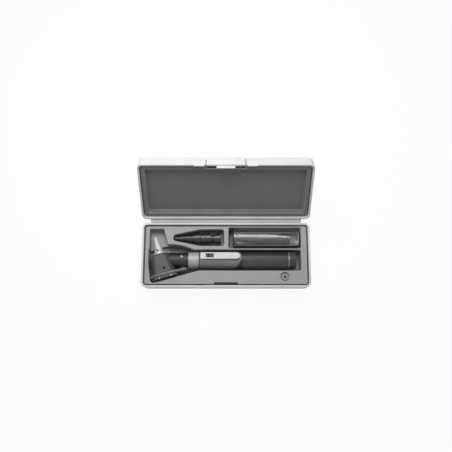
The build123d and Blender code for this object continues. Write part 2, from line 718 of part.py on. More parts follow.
def handle_grip():
    """Black grip with lengthwise flutes and one smooth strip along it."""
    grip = pipe(HANDLE_RADIUS, HANDLE_RADIUS - SLEEVE_WALL, SLEEVE_SHORT_END - 1, RING_LEFT)
    grip = split(grip, bisect_by=sleeve_end(FIT), keep=Keep.TOP)
    grip = rolled(grip, CLIP_ROLL)
    end = RING_LEFT - FLUTE_END_MARGIN
    groove = rod(FLUTE_RADIUS, FLUTE_START, end)
    groove += Pos(0, 0, FLUTE_START) * Sphere(FLUTE_RADIUS) + Pos(0, 0, end) * Sphere(FLUTE_RADIUS)
    groove = Pos(HANDLE_RADIUS + FLUTE_RADIUS - FLUTE_DEPTH, 0, 0) * groove
    for index in range(FLUTE_COUNT):
        roll = FLUTE_ROLL + (index - (FLUTE_COUNT - 1) / 2) * FLUTE_PITCH_ANGLE
        grip -= rolled(groove, roll)
    return grip


def barrel_ring():
    """Bright ring that ends the grip."""
    bore = TUBE_OUTER + FIT
    return on_handle(pipe(HANDLE_RADIUS + RING_STAND, bore, RING_LEFT, RING_LEFT + RING_WIDTH))


def cap_gasket():
    """Flat seal between the ring and the cap."""
    bore = TUBE_OUTER + FIT
    return on_handle(pipe(HANDLE_RADIUS - SLEEVE_WALL / 2, bore, RING_LEFT + RING_WIDTH, CAP_LEFT))


def end_cap():
    """Screw cap over the end of the handle tube, with fine flutes round it."""
    cap = chamfer(rod(HANDLE_RADIUS, CAP_LEFT, CAP_RIGHT).edges().group_by(Axis.Z)[-1], CAP_CHAMFER)
    cap -= rod(TUBE_OUTER + FIT, CAP_LEFT - 1, CAP_RIGHT - CAP_END_WALL)
    groove = Pos(HANDLE_RADIUS + CAP_FLUTE_DEPTH, 0, 0) * rod(
        2 * CAP_FLUTE_DEPTH, CAP_LEFT + CAP_CHAMFER, CAP_RIGHT + 1
    )
    for index in range(CAP_FLUTES):
        cap -= Rot(0, 0, index * 360 / CAP_FLUTES) * groove
    return on_handle(cap)


def battery(left):
    """One dry cell, its nub towards the head."""
    cell = chamfer(
        rod(BATTERY_RADIUS, left + BATTERY_NUB_LENGTH, left + BATTERY_LENGTH).edges(), BATTERY_CHAMFER
    )
    return on_handle(cell + rod(BATTERY_NUB_RADIUS, left, left + BATTERY_NUB_LENGTH + FIT))


def spring_seat():
    """Brass disc that the cap presses forward."""
    inside = CAP_RIGHT - CAP_END_WALL - FIT
    return on_handle(rod(SPRING_RADIUS + 2 * SPRING_WIRE_RADIUS, inside - SPRING_SEAT_THICKNESS, inside))


def cap_spring():
    """Coil spring between the cap's disc and the rear cell."""
    low = BATTERY_RIGHT + BATTERY_GAP + SPRING_WIRE_RADIUS
    high = CAP_RIGHT - CAP_END_WALL - FIT - SPRING_SEAT_THICKNESS - SPRING_WIRE_RADIUS
    path = Pos(0, 0, low) * Helix((high - low) / SPRING_TURNS, high - low, SPRING_RADIUS)
    wire = Plane(origin=path @ 0, z_dir=path % 0) * Circle(SPRING_WIRE_RADIUS)
    return on_handle(sweep(wire, path=path, is_frenet=True))


# ---------------------------------------------------------------- clip and switch
def window_span():
    """Left and right ends of the clip's switch window."""
    return SWITCH_WINDOW_LEFT, SWITCH_WINDOW_LEFT + SWITCH_WINDOW_LENGTH


def slider_span():
    """Left and right ends of the slider at rest, at the right of the window."""
    left, right = window_span()
    return left + SLIDER_TRAVEL + SLIDER_GAP, right - SLIDER_GAP


def switch_slot():
    """Slot through sleeve and tube for the slider's stem."""
    left, right = slider_span()
    middle = (left + right) / 2
    reach = STEM_WIDTH / 2 + SLIDER_GAP
    slot = block(
        (HANDLE_TUBE_BORE - 1, HANDLE_RADIUS + 1), (-reach, reach),
        (middle - reach - SLIDER_TRAVEL, middle + reach),
    )
    return rolled(slot, CLIP_ROLL)


def pocket_clip():
    """Spring clip along the handle, with a foot on the sleeve and the switch's window."""
    half = CLIP_WIDTH / 2
    bar = block((CLIP_BASE, CLIP_BASE + CLIP_THICKNESS), (-half, half), (CLIP_LEFT, CLIP_RIGHT))
    round_end = bar.edges().filter_by(Axis.X).group_by(Axis.Z)[-1]
    bar = fillet(round_end, half - FIT)
    bar = chamfer(bar.faces().sort_by(Axis.X)[-1].edges(), CLIP_EDGE)
    foot_ends = (CLIP_LEFT, CLIP_LEFT + CLIP_FOOT_LENGTH)
    foot = block((0, CLIP_BASE), (-half + CLIP_EDGE, half - CLIP_EDGE), foot_ends)
    bar += foot - rod(HANDLE_RADIUS + FIT, CLIP_LEFT - 1, CLIP_RIGHT)
    dimple_drop = CLIP_STANDOFF - SLIDER_GAP
    dimple = Sphere(CLIP_DIMPLE_RADIUS) & block((-CLIP_DIMPLE_RADIUS, 0), (-3, 3), (-3, 3))
    bar += Pos(CLIP_BASE + CLIP_DIMPLE_RADIUS - dimple_drop, 0, CLIP_RIGHT - CLIP_DIMPLE_INSET) * dimple
    left, right = window_span()
    opening = block(
        (CLIP_BASE - 1, CLIP_BASE + CLIP_THICKNESS + 1),
        (-SWITCH_WINDOW_WIDTH / 2, SWITCH_WINDOW_WIDTH / 2), (left, right),
    )
    return rolled(bar - opening, CLIP_ROLL)


def switch_frame():
    """Black guide for the slider, between sleeve and clip."""
    left, right = window_span()
    half = SWITCH_WINDOW_WIDTH / 2 + SWITCH_FRAME_WALL + SLIDER_GAP
    wall = SWITCH_FRAME_WALL + SLIDER_GAP
    top = CLIP_BASE - FIT
    frame = block((0, top), (-half, half), (left - wall, right + wall))
    frame -= rod(HANDLE_RADIUS + FIT, left - 2 * wall, right + 2 * wall)
    inner = SWITCH_WINDOW_WIDTH / 2 + SLIDER_GAP
    return rolled(frame - block((0, top + 1), (-inner, inner), (left, right)), CLIP_ROLL)


def switch_slider():
    """Sliding switch: a ribbed thumb piece with a stem into the handle."""
    left, right = slider_span()
    half = SWITCH_WINDOW_WIDTH / 2 - SLIDER_GAP
    top = CLIP_BASE + CLIP_THICKNESS - SLIDER_RECESS
    slider = block((HANDLE_RADIUS + 2 * FIT, top), (-half, half), (left, right))
    pitch = (right - left) / (SLIDER_RIBS + 1)
    for index in range(SLIDER_RIBS):
        z = left + (index + 1) * pitch
        slider -= block((top - SLIDER_RECESS, top + 1), (-half - 1, half + 1), (z - pitch / 5, z + pitch / 5))
    middle = (left + right) / 2
    stem = STEM_WIDTH / 2
    slider += block((HANDLE_TUBE_BORE + SLIDER_GAP, top / 2 + HANDLE_RADIUS / 2), (-stem, stem),
                    (middle - stem, middle + stem))
    return rolled(slider, CLIP_ROLL)


# ---------------------------------------------------------------- head
def lamp_face():
    """Place of the lamp's contact face along the handle."""
    return COLLAR_LEFT - LAMP_SETBACK


def head_outline_solid():
    """Outer shape of the head: a flared drum with a flat above and below."""
    shoulder = math.radians(45)
    bulge = HEAD_SHOULDER_RADIUS - HEAD_NECK_RADIUS
    middle = (
        HEAD_NECK_RADIUS + bulge * math.sin(shoulder), 0,
        -RING_HEIGHT - (HEAD_SHOULDER_DROP - RING_HEIGHT) * (1 - math.cos(shoulder)),
    )
    front = (HEAD_NECK_RADIUS, 0, -RING_HEIGHT)
    side = (HEAD_SHOULDER_RADIUS, 0, -HEAD_SHOULDER_DROP)
    back = (HEAD_BACK_RADIUS, 0, -HEAD_DEPTH)
    outline = Curve() + [
        Line((0, 0, -RING_HEIGHT), front),
        ThreePointArc(front, middle, side),
        Line(side, back),
        Line(back, (0, 0, -HEAD_DEPTH)),
        Line((0, 0, -HEAD_DEPTH), (0, 0, -RING_HEIGHT)),
    ]
    drum = revolve(make_face(outline), Axis.Z, 360)
    half = HEAD_THICKNESS / 2
    reach = 2 * HEAD_BACK_RADIUS
    return drum & block((-reach, reach), (-half, half), (-reach, 0))


def light_bore():
    """Way for the light from the lamp into the head."""
    return on_handle(rod(BULB_GLASS_RADIUS + SEAT_GAP, HEAD_X + NOSE_BASE_RADIUS, lamp_face()))


def head_shell():
    """Hollow head with the line of sight through it."""
    shell = head_outline_solid()
    tunnel = turned([
        (0, 1), (NOSE_BASE_RADIUS, 1), (NOSE_BASE_RADIUS, -RING_HEIGHT),
        (TUNNEL_BACK_RADIUS, -HEAD_DEPTH - FIT), (0, -HEAD_DEPTH - FIT),
    ])
    screw_hole = rod(SCREW_RADIUS + FIT, HEAD_THICKNESS / 2 - SCREW_DEPTH, HEAD_THICKNESS)
    shell = shell - tunnel - Pos(SCREW_W, 0, SCREW_N) * Rot(90, 0, 0) * screw_hole
    return on_head(shell) - light_bore()


def head_screw():
    """Recessed slotted screw in the head's upper flat."""
    bottom = HEAD_THICKNESS / 2 - SCREW_DEPTH
    top = bottom + SCREW_DEPTH / 2
    screw = rod(SCREW_RADIUS, bottom, top)
    slot = SCREW_RADIUS / 4
    screw -= block((-SCREW_RADIUS, SCREW_RADIUS), (-slot, slot), (top - slot, top + 1))
    return on_head(Pos(SCREW_W, 0, SCREW_N) * Rot(90, 0, 0) * screw)


def pivot_boss():
    """Place of the window's pivot on the head's axes."""
    return Pos(PIVOT_W, 0, 0)


def head_neck():
    """Black neck between head and collar, with the lamp's bore and the window's boss."""
    right = COLLAR_LEFT - NECK_GAP
    neck = on_handle(rod(NECK_RADIUS, HEAD_X + HEAD_SHOULDER_RADIUS - 2 * HEAD_WALL, right))
    neck += on_head(pivot_boss() * rod(BOSS_RADIUS, -HEAD_DEPTH, -HEAD_DEPTH + PIVOT_DEPTH + HEAD_WALL))
    reach = 3 * HEAD_BACK_RADIUS
    neck -= on_head(block((-reach, reach), (-reach, reach), (-reach, -HEAD_DEPTH)))
    neck -= on_head(head_outline_solid())
    face = lamp_face()
    can_end = face - BULB_FLANGE_THICKNESS - BULB_CAN_LENGTH - BULB_FIT
    neck -= on_handle(rod(THREAD_RADIUS, COLLAR_LEFT - COUPLING_SOCKET, right + 1))
    neck -= on_handle(rod(BULB_CAN_RADIUS + BULB_FIT, can_end, right))
    neck -= light_bore()
    neck -= on_head(pivot_boss() * rod(PIVOT_RADIUS, -HEAD_DEPTH - 1, -HEAD_DEPTH + PIVOT_DEPTH))
    socket = Pos(0, 0, PORT_X) * Rot(0, 90, 0) * rod(PORT_RADIUS, NECK_RADIUS - PORT_SOCKET, NECK_RADIUS + 1)
    return neck - rolled(socket, PORT_ROLL)


def head_coupling():
    """Threaded metal sleeve that screws into the collar."""
    left = COLLAR_LEFT - COUPLING_SOCKET
    right = COLLAR_LEFT + COLLAR_THREAD_DEPTH - SEAT_GAP
    return on_handle(pipe(THREAD_RADIUS, BULB_FLANGE_RADIUS + BULB_FIT, left, right))


def insufflation_port():
    """Barbed metal port for an air bulb's hose."""
    barb_top = NECK_RADIUS + PORT_HEIGHT
    port = turned([
        (PORT_BORE, NECK_RADIUS - PORT_SOCKET), (PORT_RADIUS, NECK_RADIUS - PORT_SOCKET),
        (PORT_RADIUS, NECK_RADIUS + PORT_HEIGHT / 2), (PORT_BARB_RADIUS, NECK_RADIUS + PORT_HEIGHT / 2),
        (PORT_BARB_RADIUS, barb_top - PORT_BORE / 2), (PORT_BARB_RADIUS - PORT_BORE / 2, barb_top),
        (PORT_BORE, barb_top),
    ])
    return rolled(Pos(0, 0, PORT_X) * Rot(0, 90, 0) * port, PORT_ROLL)


def nose_ring():
    """Bright ring that the nose cone stands in."""
    ring = chamfer(rod(RING_RADIUS, -RING_HEIGHT, 0).edges().group_by(Axis.Z)[-1], RING_HEIGHT / 4)
    return on_head(ring - rod(NOSE_BASE_RADIUS + FIT, -RING_HEIGHT - 1, 1))


def nose_cone():
    """Metal cone that the tips are pushed on, with a slanted slot that locks them."""
    inner_base = NOSE_BASE_RADIUS - NOSE_WALL
    inner_tip = NOSE_TIP_RADIUS - NOSE_WALL
    cone = turned([
        (inner_base, -RING_HEIGHT), (NOSE_BASE_RADIUS, -RING_HEIGHT), (NOSE_BASE_RADIUS, NOSE_WALL),
        (NOSE_TIP_RADIUS, NOSE_LENGTH), (inner_tip, NOSE_LENGTH), (inner_base, NOSE_WALL),
    ])
    slot = Pos(-BAYONET_OFFSET, -NOSE_BASE_RADIUS, BAYONET_HEIGHT) * Rot(0, BAYONET_SLANT, 0) * Box(
        BAYONET_LENGTH, NOSE_BASE_RADIUS, BAYONET_WIDTH
    )
    return on_head(cone - slot)


def light_guide():
    """Fibre rod from the lamp, bent once and laid along the tunnel into the nose."""
    start = HEAD.to_local_coords(Vector(lamp_face() - lamp_length() - SEAT_GAP, HANDLE_Y, AXIS_Z))
    run = (start.X - GUIDE_BEND_W) / math.cos(TILT)
    bend_n = start.Z + run * math.sin(TILT)
    corners = [(start.X, 0, start.Z), (GUIDE_BEND_W, 0, bend_n), (GUIDE_TIP_W, 0, NOSE_LENGTH - NOSE_WALL)]
    path = FilletPolyline(*corners, radius=GUIDE_BEND_RADIUS)
    return on_head(sweep(Plane(origin=path @ 0, z_dir=path % 0) * Circle(GUIDE_RADIUS), path=path))


# ---------------------------------------------------------------- viewing window
def window_plan(inset):
    """Outline of the window seen along the line of sight: a rounded plate and its pivot tab."""
    plate = Pos(FRAME_LENGTH / 2 - FRAME_LEFT, 0) * RectangleRounded(
        FRAME_LENGTH - 2 * inset, FRAME_HEIGHT - 2 * inset, FRAME_CORNER_RADIUS - inset
    )
    tab = Pos(PIVOT_W, 0) * Circle(TAB_RADIUS)
    shoulder = FRAME_LENGTH - FRAME_LEFT - FRAME_CORNER_RADIUS
    high = FRAME_HEIGHT / 2 - inset
    bridge = make_face(Polyline(
        (shoulder, high), (PIVOT_W, TAB_RADIUS), (PIVOT_W, -TAB_RADIUS), (shoulder, -high), close=True
    ))
    return plate + bridge + tab if not inset else plate


def window_frame():
    """Swinging frame behind the head."""
    top = -HEAD_DEPTH - WINDOW_GAP
    frame = extrude(Pos(0, 0, top) * window_plan(0), amount=-FRAME_THICKNESS)
    frame = chamfer(frame.edges().group_by(Axis.Z)[0], FRAME_CHAMFER)
    frame -= rod(WINDOW_APERTURE_RADIUS, top - FRAME_THICKNESS - 1, top + 1)
    frame -= pivot_boss() * rod(PIVOT_RADIUS + FIT, top - FRAME_THICKNESS - 1, top + 1)
    return on_head(frame)


def window_lens():
    """Clear magnifying lens, its spigot in the frame's aperture."""
    seat = -HEAD_DEPTH - WINDOW_GAP - FRAME_THICKNESS
    plate_top = seat - LENS_GROOVE
    lens = extrude(Pos(0, 0, plate_top) * window_plan(LENS_INSET), amount=-LENS_THICKNESS)
    lens = chamfer(lens.edges().group_by(Axis.Z)[0], FRAME_CHAMFER)
    return on_head(lens + rod(WINDOW_APERTURE_RADIUS - FIT, plate_top, seat + FRAME_THICKNESS / 2))


def pivot_screw():
    """Shouldered screw that the window swings on."""
    bottom = -HEAD_DEPTH - WINDOW_GAP - FRAME_THICKNESS - SLIDER_GAP
    screw = rod(PIVOT_RADIUS, bottom, -HEAD_DEPTH + PIVOT_DEPTH)
    screw += rod(2 * PIVOT_RADIUS, bottom - PIVOT_HEAD, bottom)
    return on_head(pivot_boss() * screw)


# ---------------------------------------------------------------- bulbs
def lamp_length():
    """Whole length of a bulb from contact face to glass tip."""
    return BULB_FLANGE_THICKNESS + BULB_CAN_LENGTH + BULB_GLASS_LENGTH


def bulb_can():
    """Metal body of a bulb, its flange's face at z = 0 and open for the glass below."""
    can = rod(BULB_FLANGE_RADIUS, -BULB_FLANGE_THICKNESS, 0)
    can += rod(BULB_CAN_RADIUS, -BULB_FLANGE_THICKNESS - BULB_CAN_LENGTH, 0)
    return can - rod(BULB_CONTACT_RADIUS, -BULB_CONTACT_DEPTH, 1)


def bulb_contact():
    """Black insulator in the middle of a bulb's contact face."""
    return rod(BULB_CONTACT_RADIUS - FIT, -BULB_CONTACT_DEPTH, -BULB_CONTACT_DEPTH / 3)


def bulb_glass():
    """Glass envelope below the can, with a round end."""
    top = -BULB_FLANGE_THICKNESS - BULB_CAN_LENGTH
    glass = rod(BULB_GLASS_RADIUS, top - BULB_GLASS_LENGTH, top)
    return fillet(glass.edges().group_by(Axis.Z)[0], BULB_GLASS_RADIUS - FIT)


def lamp_place(shape):
    """Carry a bulb piece to the lamp's place in the head."""
    return on_handle(Pos(0, 0, lamp_face()) * shape)


def spare_place(shape):
    """Carry a bulb piece to its stepped hole in the tray."""
    flange_floor = TRAY_TOP - BULB_HOLE_DEPTH + SEAT_GAP
    return Pos(BULB_HOLE_X, BULB_HOLE_Y, flange_floor + BULB_FLANGE_THICKNESS) * shape


# ---------------------------------------------------------------- reusable tips
def reusable_tip(index):
    """Black cone with a collar and a rim, standing on its small end at z = 0."""
    aperture = TIP_APERTURES[index] / 2
    nose = aperture + TIP_NOSE_WALL
    rim = TIP_LENGTH - TIP_FLANGE_THICKNESS
    step = TIP_CONE_LENGTH + TIP_WALL
    return turned([
        (aperture, 0), (nose, 0), (TIP_CONE_RADIUS, TIP_CONE_LENGTH),
        (TIP_COLLAR_RADIUS, TIP_CONE_LENGTH), (TIP_COLLAR_RADIUS, rim),
        (TIP_FLANGE_RADIUS, rim), (TIP_FLANGE_RADIUS, TIP_LENGTH),
        (TIP_COLLAR_RADIUS - TIP_WALL, TIP_LENGTH), (TIP_COLLAR_RADIUS - TIP_WALL, step),
        (TIP_CONE_RADIUS - TIP_WALL, step),
    ])


def tips_axis():
    """Plane whose Z runs to the right along the nested tips."""
    height = TIPS_FLOOR + SEAT_GAP + TIP_FLANGE_RADIUS
    return Plane(origin=(0, TIPS_Y, height), x_dir=(0, 0, 1), z_dir=(1, 0, 0))


def placed_tip(index):
    """One reusable tip in its place in the nest."""
    return tips_axis() * Pos(0, 0, TIPS_LEFT + sum(TIP_STEPS[:index])) * reusable_tip(index)


# ---------------------------------------------------------------- tube of disposable tips
def tube_axis(drop=0.0):
    """Plane whose Z runs to the right along the tube, lowered by drop."""
    height = TUBE_FLOOR + SEAT_GAP + TUBE_RADIUS - drop
    return Plane(origin=(0, TUBE_Y, height), x_dir=(0, 0, 1), z_dir=(1, 0, 0))


def tube_body():
    """Clear tube, open at its left end and closed with a rounded end at its right."""
    left = TUBE_LEFT + PLUG_FLANGE
    body = rod(TUBE_RADIUS, left, TUBE_RIGHT)
    body = fillet(body.edges().group_by(Axis.Z)[-1], 2 * TUBE_WALL)
    bore = rod(TUBE_RADIUS - TUBE_WALL, left - 1, TUBE_RIGHT - TUBE_WALL)
    bore = fillet(bore.edges().group_by(Axis.Z)[-1], TUBE_WALL)
    return tube_axis() * (body - bore)


def tube_plug():
    """Soft stopper in the tube's open end."""
    inner = TUBE_RADIUS - TUBE_WALL - FIT
    end = TUBE_LEFT + PLUG_FLANGE + PLUG_DEPTH
    flange = chamfer(rod(TUBE_RADIUS, TUBE_LEFT, TUBE_LEFT + PLUG_FLANGE).edges().group_by(Axis.Z)[0],
                     PLUG_FLANGE / 3)
    plug = flange + rod(inner, TUBE_LEFT + PLUG_FLANGE, end)
    return tube_axis() * (plug - rod(inner - TUBE_WALL, TUBE_LEFT + PLUG_FLANGE, end + 1))


def disposable_tips():
    """Nest of thin disposable tips lying on the tube's wall."""
    rim = DISPOSABLE_LENGTH - TIP_FLANGE_THICKNESS
    wall = DISPOSABLE_WALL
    tip = turned([
        (DISPOSABLE_NOSE_RADIUS - wall, 0), (DISPOSABLE_NOSE_RADIUS, 0), (DISPOSABLE_CONE_RADIUS, rim),
        (DISPOSABLE_FLANGE_RADIUS, rim), (DISPOSABLE_FLANGE_RADIUS, DISPOSABLE_LENGTH),
        (DISPOSABLE_CONE_RADIUS - wall, DISPOSABLE_LENGTH), (DISPOSABLE_CONE_RADIUS - wall, rim),
    ])
    drop = TUBE_RADIUS - TUBE_WALL - DISPOSABLE_REST - DISPOSABLE_FLANGE_RADIUS
    places = [DISPOSABLE_LEFT + index * DISPOSABLE_PITCH for index in range(DISPOSABLE_COUNT)]
    return Compound([tube_axis(drop) * Pos(0, 0, place) * tip for place in places])


# ---------------------------------------------------------------- nodes
def nodes():
    """Every node's name and shape, in its place at rest."""
    second_cell = BATTERY_LEFT + BATTERY_LENGTH + BATTERY_GAP
    shapes = {
        "base_shell": base_shell(),
        **tray_pieces(),
        "hinge_strap": strap_open(hinge_strap()),
        "lid_shell": lid_open(lid_shell()),
        "lid_liner": lid_open(lid_liner()),
        "latch_tongue": lid_open(latch_tongue()),
        "handle_collar": handle_collar(),
        "contact_insulator": contact_insulator(),
        "contact_pin": contact_pin(),
        "handle_tube": handle_tube(),
        "handle_sleeve": handle_sleeve(),
        "handle_grip": handle_grip(),
        "barrel_ring": barrel_ring(),
        "cap_gasket": cap_gasket(),
        "end_cap": end_cap(),
        "spring_seat": spring_seat(),
        "cap_spring": cap_spring(),
        "battery_front": battery(BATTERY_LEFT),
        "battery_rear": battery(second_cell),
        "pocket_clip": pocket_clip(),
        "switch_frame": switch_frame(),
        "switch_slider": switch_slider(),
        "head_shell": head_shell(),
        "head_screw": head_screw(),
        "head_neck": head_neck(),
        "head_coupling": head_coupling(),
        "insufflation_port": insufflation_port(),
        "nose_ring": nose_ring(),
        "nose_cone": nose_cone(),
        "light_guide": light_guide(),
        "window_frame": window_frame(),
        "window_lens": window_lens(),
        "pivot_screw": pivot_screw(),
        "lamp_can": lamp_place(bulb_can()),
        "lamp_contact": lamp_place(bulb_contact()),
        "lamp_glass": lamp_place(bulb_glass()),
        "spare_bulb_can": spare_place(bulb_can()),
        "spare_bulb_contact": spare_place(bulb_contact()),
        "spare_bulb_glass": spare_place(bulb_glass()),
        "tube_body": tube_body(),
        "tube_plug": tube_plug(),
        "disposable_tips": disposable_tips(),
    }
    for index in range(len(TIP_APERTURES)):
        shapes[f"reusable_tip_{index + 1}"] = placed_tip(index)
    return shapes


def main():
    """Write one STEP file per node."""
    os.makedirs("parts", exist_ok=True)
    for name, shape in nodes().items():
        export_step(shape, f"parts/{name}.step")


if __name__ == "__main__":
    main()
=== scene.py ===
"""Dresses the otoscope carry case: finishes for every solid, fine modelled pieces, light and camera."""

import json
import logging
import math
from dataclasses import dataclass
from enum import Enum

import bpy
from mathutils import Matrix, Vector


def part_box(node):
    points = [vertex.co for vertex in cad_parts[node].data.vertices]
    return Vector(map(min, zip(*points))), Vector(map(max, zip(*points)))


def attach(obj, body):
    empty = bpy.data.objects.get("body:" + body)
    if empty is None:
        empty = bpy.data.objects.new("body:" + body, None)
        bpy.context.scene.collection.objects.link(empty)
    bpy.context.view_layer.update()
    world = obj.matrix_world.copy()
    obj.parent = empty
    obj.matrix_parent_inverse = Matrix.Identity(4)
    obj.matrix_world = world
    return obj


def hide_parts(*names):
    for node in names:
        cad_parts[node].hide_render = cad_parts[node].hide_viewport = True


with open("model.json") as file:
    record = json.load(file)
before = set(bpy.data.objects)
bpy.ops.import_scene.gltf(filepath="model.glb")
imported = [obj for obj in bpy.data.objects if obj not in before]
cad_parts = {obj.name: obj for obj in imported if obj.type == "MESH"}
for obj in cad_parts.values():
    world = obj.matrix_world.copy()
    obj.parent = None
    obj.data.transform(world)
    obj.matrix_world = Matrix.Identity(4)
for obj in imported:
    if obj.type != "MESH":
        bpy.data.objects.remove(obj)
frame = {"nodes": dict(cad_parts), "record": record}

LOG = logging.getLogger("carry_case")
MM = 0.001
WHITE = (1.0, 1.0, 1.0, 1.0)
PALE = (0.9, 0.9, 0.9, 1.0)
Number = float | int
Triple = tuple[float, float, float]


class Along(Enum):
    """Which way the fine lines of a finish run, as the pattern's scale on X, Y and Z."""

    LENGTH = (0.012, 1.0, 1.0)
    ROUND = (1.0, 0.02, 0.02)
    EVEN = (1.0, 1.0, 1.0)


def tone(red: int, green: int, blue: int) -> tuple[float, float, float, float]:
    """Turn a screen colour into the linear colour that a shader takes.

    Args:
        red: Red, 0 to 255.
        green: Green, 0 to 255.
        blue: Blue, 0 to 255.

    Returns:
        The linear colour with full opacity.
    """
    def linear(value: int) -> float:
        share = value / 255
        return share / 12.92 if share <= 0.04045 else ((share + 0.055) / 1.055) ** 2.4

    return linear(red), linear(green), linear(blue), 1.0


class Wire:
    """One shader socket that takes part in arithmetic, each operator adding a Math node."""

    def __init__(self, graph: "Graph", socket: bpy.types.NodeSocket) -> None:
        """Keep the graph and the socket that the value comes from."""
        self.graph = graph
        self.socket = socket

    def _math(self, operation: str, first: "Wire | Number", second: "Wire | Number") -> "Wire":
        """Add a Math node of two values.

        Args:
            operation: Blender's name of the operation.
            first: Left value.
            second: Right value.

        Returns:
            The node's result.
        """
        return self.graph.node("ShaderNodeMath", {"operation": operation}, {0: first, 1: second})

    def __add__(self, other: "Wire | Number") -> "Wire":
        """Sum."""
        return self._math("ADD", self, other)

    __radd__ = __add__

    def __sub__(self, other: "Wire | Number") -> "Wire":
        """Difference."""
        return self._math("SUBTRACT", self, other)

    def __rsub__(self, other: "Wire | Number") -> "Wire":
        """Difference from a plain number."""
        return self._math("SUBTRACT", other, self)

    def __mul__(self, other: "Wire | Number") -> "Wire":
        """Product."""
        return self._math("MULTIPLY", self, other)

    def clamped(self) -> "Wire":
        """Value held between 0 and 1."""
        return self._math("MINIMUM", self._math("MAXIMUM", self, 0.0), 1.0)


class Graph:
    """A material's or the world's node tree, built from expressions."""

    BEVEL_SAMPLES = 6
    EDGE_GAIN = 6.0  # how fast the edge mask rises as the softened normal turns

    def __init__(self, owner: bpy.types.Material | bpy.types.World,
                 output: str = "ShaderNodeOutputMaterial") -> None:
        """Empty the owner's node tree and give it an output.

        Args:
            owner: Material or world whose tree is filled.
            output: Blender's type of the tree's output node.
        """
        owner.use_nodes = True
        self.owner = owner
        self.tree = owner.node_tree
        self.tree.nodes.clear()
        self.output = self.tree.nodes.new(output)

    @classmethod
    def material(cls, name: str) -> "Graph":
        """Start a new material of that name."""
        return cls(bpy.data.materials.new(name))

    def node(self, kind: str, settings: dict | None = None, values: dict | None = None,
             result: int | str = 0) -> Wire:
        """Add a node.

        Args:
            kind: Blender's node type.
            settings: Node properties, set before its sockets.
            values: Socket name or number to a Wire or a plain value.
            result: Output socket's name or number.

        Returns:
            The wanted output.
        """
        made = self.tree.nodes.new(kind)
        for key, value in (settings or {}).items():
            setattr(made, key, value)
        for key, value in (values or {}).items():
            if isinstance(value, Wire):
                self.tree.links.new(value.socket, made.inputs[key])
            else:
                made.inputs[key].default_value = value
        return Wire(self, made.outputs[result])

    def place(self, along: Along) -> Wire:
        """Object coordinates, stretched the way the lines run."""
        spot = self.node("ShaderNodeTexCoord", result="Object")
        return self.node("ShaderNodeMapping", values={"Vector": spot, "Scale": along.value})

    def noise(self, scale: float, detail: float = 2.0, along: Along = Along.EVEN) -> Wire:
        """Noise between about 0.3 and 0.7.

        Args:
            scale: Waves per metre.
            detail: How much finer noise lies over the broad one.
            along: Which way the noise is drawn out.

        Returns:
            The noise's value.
        """
        values = {"Vector": self.place(along), "Scale": scale, "Detail": detail}
        return self.node("ShaderNodeTexNoise", values=values)

    def blend(self, share: "Wire | Number", low: "Wire | tuple", high: "Wire | tuple") -> Wire:
        """Colour between two others.

        Args:
            share: 0 for the low colour, 1 for the high one.
            low: First colour.
            high: Second colour.

        Returns:
            The mixed colour.
        """
        settings = {"data_type": "RGBA", "clamp_factor": True}
        return self.node("ShaderNodeMix", settings, {0: share, 6: low, 7: high}, result=2)

    def edges(self, radius: float) -> tuple[Wire, Wire]:
        """Softened normals and a mask of the sharp edges.

        Args:
            radius: Radius of the softening in metres.

        Returns:
            The softened normal, and a mask that is 1 on an edge.
        """
        soft = self.node("ShaderNodeBevel", {"samples": self.BEVEL_SAMPLES}, {"Radius": radius})
        true = self.node("ShaderNodeNewGeometry", result="True Normal")
        turn = {"operation": "DOT_PRODUCT"}
        dot = self.node("ShaderNodeVectorMath", turn, {0: soft, 1: true}, result="Value")
        return soft, ((1 - dot) * self.EDGE_GAIN).clamped()

    def bump(self, height: Wire, depth: float, normal: Wire | None = None) -> Wire:
        """Bump that a height pattern makes.

        Args:
            height: The pattern.
            depth: Its depth in metres.
            normal: Normal that the bump lies over, if not the surface's own.

        Returns:
            The bumped normal.
        """
        values: dict = {"Height": height, "Distance": depth, "Strength": 1.0}
        if normal is not None:
            values["Normal"] = normal
        return self.node("ShaderNodeBump", values=values)

    def seen_by_eye(self) -> Wire:
        """1 for rays from the camera and for reflections and sight through glass."""
        rays = ("Is Camera Ray", "Is Glossy Ray", "Is Transmission Ray")
        camera, glossy, through = (self.node("ShaderNodeLightPath", result=ray) for ray in rays)
        return (camera + glossy + through).clamped()

    def finish(self, shader: Wire) -> bpy.types.Material | bpy.types.World:
        """Send a shader to the surface and return what it dresses."""
        self.tree.links.new(shader.socket, self.output.inputs["Surface"])
        return self.owner


